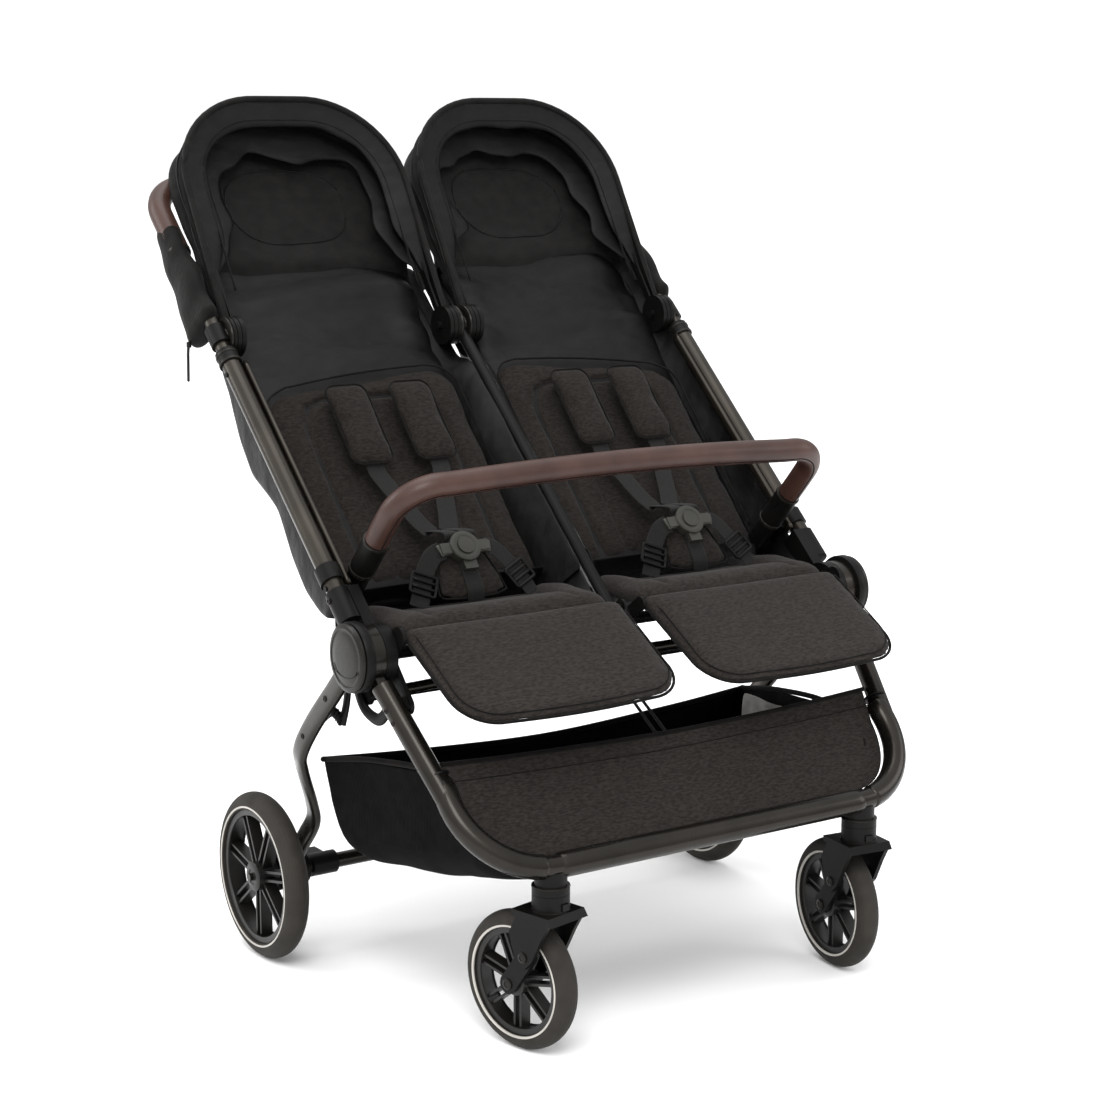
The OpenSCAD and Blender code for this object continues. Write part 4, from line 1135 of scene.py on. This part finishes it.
# double cord from the cross tube to the panel's middle
for k in (-1, 1):
    pts = [vec(k * 0.004, -0.150, 0.388), vec(k * 0.006, -0.20, 0.372), L(k * 0.0075, 0.158, -0.014)]
    finish_piece(tube("basket_cord_%s" % ("left" if k < 0 else "right"), smooth_path(pts, 20), 0.0021,
                      "webbing", 8), "chassis", "basket_fabric")

# ---------------------------------------------------------------- frame details
pts = [(0.3707, 0.0, 0.0), (0.3707, 0.05, -0.05), (0.3707, 0.105, -0.102), (0.3700, 0.140, -0.143),
       (0.360, 0.158, -0.170), (0.332, 0.188, -0.226), (0.3215, 0.204, -0.256), (0.320, 0.235, -0.291),
       (0.320, 0.281, -0.344)]
path = smooth_path([(x, HY + y, HZ + z) for x, y, z in pts], 70)
sec = ring_section(0.0062, 20, 0.0133, 0.6)
leg = sweep("rear_leg_right", path, sec, "paint_dark", X, levels=1)
hub = vec(0.0, HY, HZ)
pair(leg, "rear_frame", "frame_paint", "rear_legs")
knuckle = lathe("rear_knuckle_right", [(0.3643, 0.038), (0.3648, 0.0415), (0.3660, 0.0420), (0.3755, 0.0420),
                                       (0.3766, 0.0412), (0.377, 0.039)], hub, X, "plastic", 64)
pair(knuckle, "rear_frame", "dark_plastic")
cover = lathe("hub_cover_disc_right", [(0.3774, 0.0400), (0.379, 0.0410), (0.3812, 0.0405), (0.3828, 0.0380),
                                       (0.3832, 0.0345), (0.3826, 0.0338), (0.3822, 0.0325), (0.3829, 0.0300),
                                       (0.3840, 0.0200), (0.3843, 0.0040)], hub, X, "gloss", 72)
pair(cover, "rear_frame", "dark_plastic", "hub_covers")
arc = [hub + vec(0.3838, 0.030 * cos(a), 0.0165 * sin(a) - 0.006) for a in np.linspace(-2.9, -0.25, 24)]
pair(tube("hub_cover_line_right", arc, 0.0005, "plastic", 6), "rear_frame", "dark_plastic")
foot = lathe("rear_leg_foot_right", [(0.3105, 0.0135), (0.3115, 0.0172), (0.3265, 0.0176), (0.3282, 0.0150)],
             (0, AXLE_Y, AXLE_Z), X, "plastic")
pair(foot, "rear_frame", "dark_plastic")


def bolt(name, p, axis, r, body):
    prof = [(0, r), (0.0009, r), (0.0016, r * 0.82), (0.0018, r * 0.45), (0.0011, r * 0.4), (0.001, 0.0001)]
    pair(lathe(name + "_right", prof, p, axis, "gloss", 24), body, "pin_steel")


bolt("rivet_tube", U(0.3555, 0.082, 0) + vec(0.0149, 0, 0), X, 0.0042, "upper_frame")
for name, x, y, z, r in (("upper", 0.3768, 0.063, 0.062, 0.0040), ("mid", 0.3768, 0.122, 0.121, 0.0036),
                         ("low", 0.3262, 0.235, 0.291, 0.0036)):
    bolt("rivet_leg_" + name, vec(x, HY + y, HZ - z), X, r, "rear_frame")
for n_, l in enumerate((0.075, 0.092)):
    bolt("rivet_front_%d" % n_, L(0.357 - l * LEAN + 0.0125, l, 0), X, 0.0034, "chassis")

# moulded corner sleeves of the front frame
for side, tag in ((-1, "left"), (1, "right")):
    pts = []
    for r in np.radians(np.linspace(-8, 82, 30)):
        pts.append(L(side * (CORNER_X + CORNER_R * cos(r)), CORNER_L + CORNER_R * sin(r), 0))
    pts = [L(side * (CORNER_X + CORNER_R * cos(radians(-8)) + 0.02 * LEAN), CORNER_L - 0.0339)] + pts
    o = sweep("corner_sleeve_" + tag, np.array(pts), ring_section(0.0141, 22, 0.0146, 0.92), "paint_dark",
              (0, 0.7, -0.7), levels=1)
    finish_piece(o, "chassis", "frame_paint")
    c = pts[0]
    o = lathe("corner_seam_" + tag, [(-0.0016, 0.0128), (-0.001, 0.0150), (0.001, 0.0150), (0.0016, 0.0128)],
              c, pts[1] - c, "plastic")
    finish_piece(o, "chassis", "dark_plastic")
bar = [L(x, 0.302, 0) for x in np.linspace(-0.232, 0.232, 30)]
sec = ring_section(1, 26)
sec = np.stack([0.0137 * np.sign(sec[:, 0]) * abs(sec[:, 0]) ** 0.8, 0.0150 * sec[:, 1]], 1)
finish_piece(sweep("cross_bar_cover", np.array(bar), sec, "paint_dark", (0, 0.7, -0.7), levels=1), "chassis",
             "frame_paint")

# fabric rail on the inner side of each upper tube
rail = [U(0.3385, s, 0.0035) for s in np.linspace(0.10, 0.455, 40)]
pair(sweep("tube_rail_right", np.array(rail), ring_section(0.0035, 14, 0.0062, 0.7), "paint", X, levels=0),
     "upper_frame", "frame_paint")
# collar ring where the handle tube leaves the upper tube
for n_, s in enumerate((0.459, 0.4715)):
    pair(lathe("collar_ring_%d_right" % n_, [(-0.002, 0.0138), (-0.0012, 0.0149), (0.0012, 0.0149),
                                             (0.002, 0.0138)], U(0.355, s), ALONG, "gloss"), "upper_frame",
         "dark_plastic")
# cast hood hubs: ribbed discs on both mounts
for n_, (x, face) in enumerate(((0.3452, 1), (0.0082, -1))):
    prof = [(0, 0.0255), (0.0015 * face, 0.0262), (0.003 * face, 0.0255), (0.0032 * face, 0.0205),
            (0.0018 * face, 0.0198), (0.0018 * face, 0.0125), (0.0034 * face, 0.0118),
            (0.0036 * face, 0.0004)]
    pair(lathe("hood_hub_%d_right" % n_, prof, U(x, HOOD_S), X, "gloss", 56), "upper_frame", "dark_plastic")

# side bracket with its hook, the link to the rear leg and the ribbed spring
hook = smooth_path([(0.3345, HY + 0.050, HZ - 0.020), (0.3345, HY + 0.062, HZ - 0.045),
                    (0.3345, HY + 0.045, HZ - 0.074), (0.3345, HY + 0.010, HZ - 0.082),
                    (0.3345, HY - 0.012, HZ - 0.066)], 30)
pair(sweep("side_hook_right", hook, ring_section(0.0032, 14, 0.0075, 0.7), "plastic", X, levels=0), "chassis",
     "dark_plastic")
link = smooth_path([(0.345, HY + 0.062, HZ - 0.038), (0.347, HY + 0.064, HZ - 0.070),
                    (0.350, HY + 0.070, HZ - 0.098)], 20)
pair(sweep("side_link_right", link, ring_section(0.003, 12, 0.006, 0.7), "plastic", X), "chassis",
     "dark_plastic")
spring = smooth_path([(0.350, HY + 0.070, HZ - 0.096), (0.353, HY + 0.088, HZ - 0.086),
                      (0.357, HY + 0.108, HZ - 0.098)], 60)
rr = 0.0052 + 0.0011 * np.sin(np.linspace(0, 2 * pi * 11, 60))
pair(tube("side_spring_right", spring, rr, "plastic", 12), "chassis", "dark_plastic")
half = [(0.33, HY + 0.046, HZ - 0.060), (0.27, HY + 0.040, HZ - 0.058), (0.18, HY + 0.030, HZ - 0.052)]
cross = smooth_path([(-x, y, z) for x, y, z in half] + [(0, HY + 0.026, HZ - 0.050)] + half[::-1], 60)
finish_piece(tube("cross_tube_cover", cross, 0.0068, "paint_dark", 14), "chassis", "frame_paint")

# handle: stitching under the leather grip, and end rings
grip = [U(0.355, 0.66), U(0.355, 0.70), U(0.355, 0.723)]
for a in np.radians(np.linspace(0, 90, 10)[1:]):
    grip.append(U(0.303 + 0.052 * cos(a), 0.723 + 0.052 * sin(a)))
grip = smooth_path(grip + [U(0.2, 0.775), U(0.045, 0.775)], 70)
pair(tube("grip_stitching_right", grip - AHEAD * 0.0150, 0.0009, "piping", 6), "upper_frame", "brown_leather")
pair(lathe("grip_ring_right", [(-0.004, 0.0120), (-0.003, 0.0153), (0.003, 0.0156), (0.0045, 0.0150)],
           U(0.355, 0.653), ALONG, "gloss"), "upper_frame", "dark_plastic")

# ---------------------------------------------------------------- wheels
TURN = {"left": radians(13), "right": radians(-7)}
for side, tag in ((-1, "left"), (1, "right")):
    ct, st = cos(TURN[tag]), sin(TURN[tag])
    stem = vec(side * 0.2316, -0.378, 0.0)

    def G(x, y, z, stem=stem, ct=ct, st=st):
        return stem + vec(x * ct - y * st, x * st + y * ct, z)

    ax = G(1, 0, 0) - G(0, 0, 0)
    # place, centre, axis, body, tyre radius and width, outer radius of the rim, radius of the hub cap
    for pos, c, axis, body, rt, w, rr, rh in (
            ("rear", vec(side * 0.355, AXLE_Y, AXLE_Z), X, "rear_wheel_", 0.108, 0.032, 0.087, 0.019),
            ("front", G(0, 0.046, 0.083), ax, "front_wheel_", 0.083, 0.030, 0.065, 0.0165)):
        face, d, rc = w / 2, w / 2 - 0.0015, rt - w / 2
        ring = [(face - 0.0012, rc - 0.0034), (face + 0.0002, rc - 0.0030), (face + 0.0005, rc - 0.0008),
                (face - 0.0008, rc - 0.0004)]
        cap = [(d - 0.003, rh * 0.98), (d, rh * 0.97), (d + 0.0014, rh * 0.86), (d + 0.0016, rh * 0.55),
               (d + 0.0006, rh * 0.50), (d + 0.0006, 0.0052), (d + 0.0022, 0.0048), (d + 0.0024, 0.0003)]
        lip = [(face - 0.0055, rr - 0.0085), (face - 0.0040, rr - 0.0080), (face - 0.0036, rr - 0.0015),
               (face - 0.0050, rr - 0.0004)]
        for k, where in ((-1, "in"), (1, "out")):
            for name, rows, mat, m, loop, slot in (("pale_ring", ring, "pale", 96, True, "tyre_rubber"),
                                                   ("hub_cap", cap, "rim", 40, False, "rim_plastic"),
                                                   ("rim_lip", lip, "rim", 96, True, "rim_plastic")):
                o = lathe("%s_%s_%s_%s" % (name, pos, tag, where), [(k * a, r) for a, r in rows], c, axis,
                          mat, m, loop)
                finish_piece(o, body + tag, slot)
    # caster: collar ring, socket ring and bolts
    finish_piece(lathe("caster_ring_" + tag, [(0.1765, 0.0218), (0.1775, 0.0229), (0.1800, 0.0229),
                                              (0.1808, 0.0218)], stem, (0, 0, 1), "gloss"), "caster_" + tag,
                 "dark_plastic")
    finish_piece(lathe("socket_ring_" + tag, [(0.2065, 0.0218), (0.2072, 0.0226), (0.2085, 0.0222),
                                              (0.2088, 0.0195)], stem, (0, 0, 1), "gloss"), "chassis",
                 "dark_plastic")
    for k in (-1, 1):
        for nm, p, r, body in (("pivot", G(k * 0.0302, 0.016, 0.124), 0.0062, "caster_"),
                               ("axle", G(k * 0.0242, 0.046, 0.083), 0.0068, "suspension_")):
            prof = [(0, r), (0.0012, r), (0.002, r * 0.8), (0.0022, r * 0.5), (0.0014, r * 0.45),
                    (0.0013, 0.0002)]
            o = lathe("caster_%s_%s_%s" % (nm, tag, "in" if k < 0 else "out"), prof, p, ax * k, "gloss", 24)
            finish_piece(o, body + tag, "pin_steel")

# ---------------------------------------------------------------- stage, light and camera
floor = make("floor", [(-30, -30, 0), (30, -30, 0), (30, 30, 0), (-30, 30, 0)], [(0, 1, 2, 3)], "pale",
             smooth=False)
floor.data.materials.clear()
fm, nt, b = material("floor_white", (0.97, 0.97, 0.97), 1.0, spec=0.0)
tones(nt, b, noise(nt, 3, 2), (0.965, 0.965, 0.965), (0.975, 0.975, 0.975))
floor.data.materials.append(fm)
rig.stage(floor)

world = bpy.data.worlds.new("studio")
scene.world = world
world.use_nodes = True
wt = world.node_tree
back = wt.nodes["Background"]
back.inputs["Color"].default_value = (1, 1, 1, 1)
tc = node(wt, "ShaderNodeTexCoord")
dot = node(wt, "ShaderNodeVectorMath", operation="DOT_PRODUCT")
dot.inputs[1].default_value = tuple(Vector((-0.42, -0.22, 0.88)).normalized())
ramp = node(wt, "ShaderNodeMapRange")
ramp.inputs["From Min"].default_value, ramp.inputs["From Max"].default_value = -0.35, 1.0
ramp.inputs["To Min"].default_value, ramp.inputs["To Max"].default_value = 0.36, 1.95
seen = node(wt, "ShaderNodeLightPath")
pick = node(wt, "ShaderNodeMix")
pick.inputs["B"].default_value = 1.04
wt.links.new(tc.outputs["Generated"], dot.inputs[0])
wt.links.new(dot.outputs["Value"], ramp.inputs["Value"])
wt.links.new(seen.outputs["Is Camera Ray"], pick.inputs["Factor"])
wt.links.new(ramp.outputs["Result"], pick.inputs["A"])
wt.links.new(pick.outputs["Result"], back.inputs["Strength"])


def area(name, pos, target, size, power):
    d = bpy.data.lights.new(name, "AREA")
    d.shape, d.size, d.size_y, d.energy = "RECTANGLE", size[0], size[1], power
    o = bpy.data.objects.new(name, d)
    o.location = pos
    o.rotation_euler = (Vector(target) - Vector(pos)).to_track_quat("-Z", "Y").to_euler()
    scene.collection.objects.link(o)


area("key", (-1.6, -2.6, 3.4), (0, 0, 0.5), (1.8, 1.8), 90)
area("fill", (3.2, -1.8, 1.8), (0, 0, 0.5), (1.6, 1.6), 24)
area("top", (0, 0.5, 4.0), (0, 0, 0.4), (2.6, 2.6), 50)
area("rim", (-2.8, 2.2, 2.2), (0, 0, 0.6), (1.2, 2.0), 40)

cam = bpy.data.cameras.new("camera")
co = bpy.data.objects.new("camera", cam)
scene.collection.objects.link(co)
cam.lens, cam.sensor_width = 74.34, 36
pos, target = Vector((-1.606, -2.429, 1.053)), Vector((-0.0653, -0.128, 0.5388))
co.location = pos
co.rotation_euler = (target - pos).to_track_quat("-Z", "Y").to_euler()
scene.camera = co
scene.view_settings.view_transform = "Standard"

lo1, hi1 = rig.bounds()
json.dump({"cad": [list(map(float, lo0)), list(map(float, hi0))],
           "visual": [list(map(float, lo1)), list(map(float, hi1))]}, open("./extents.json", "w"))
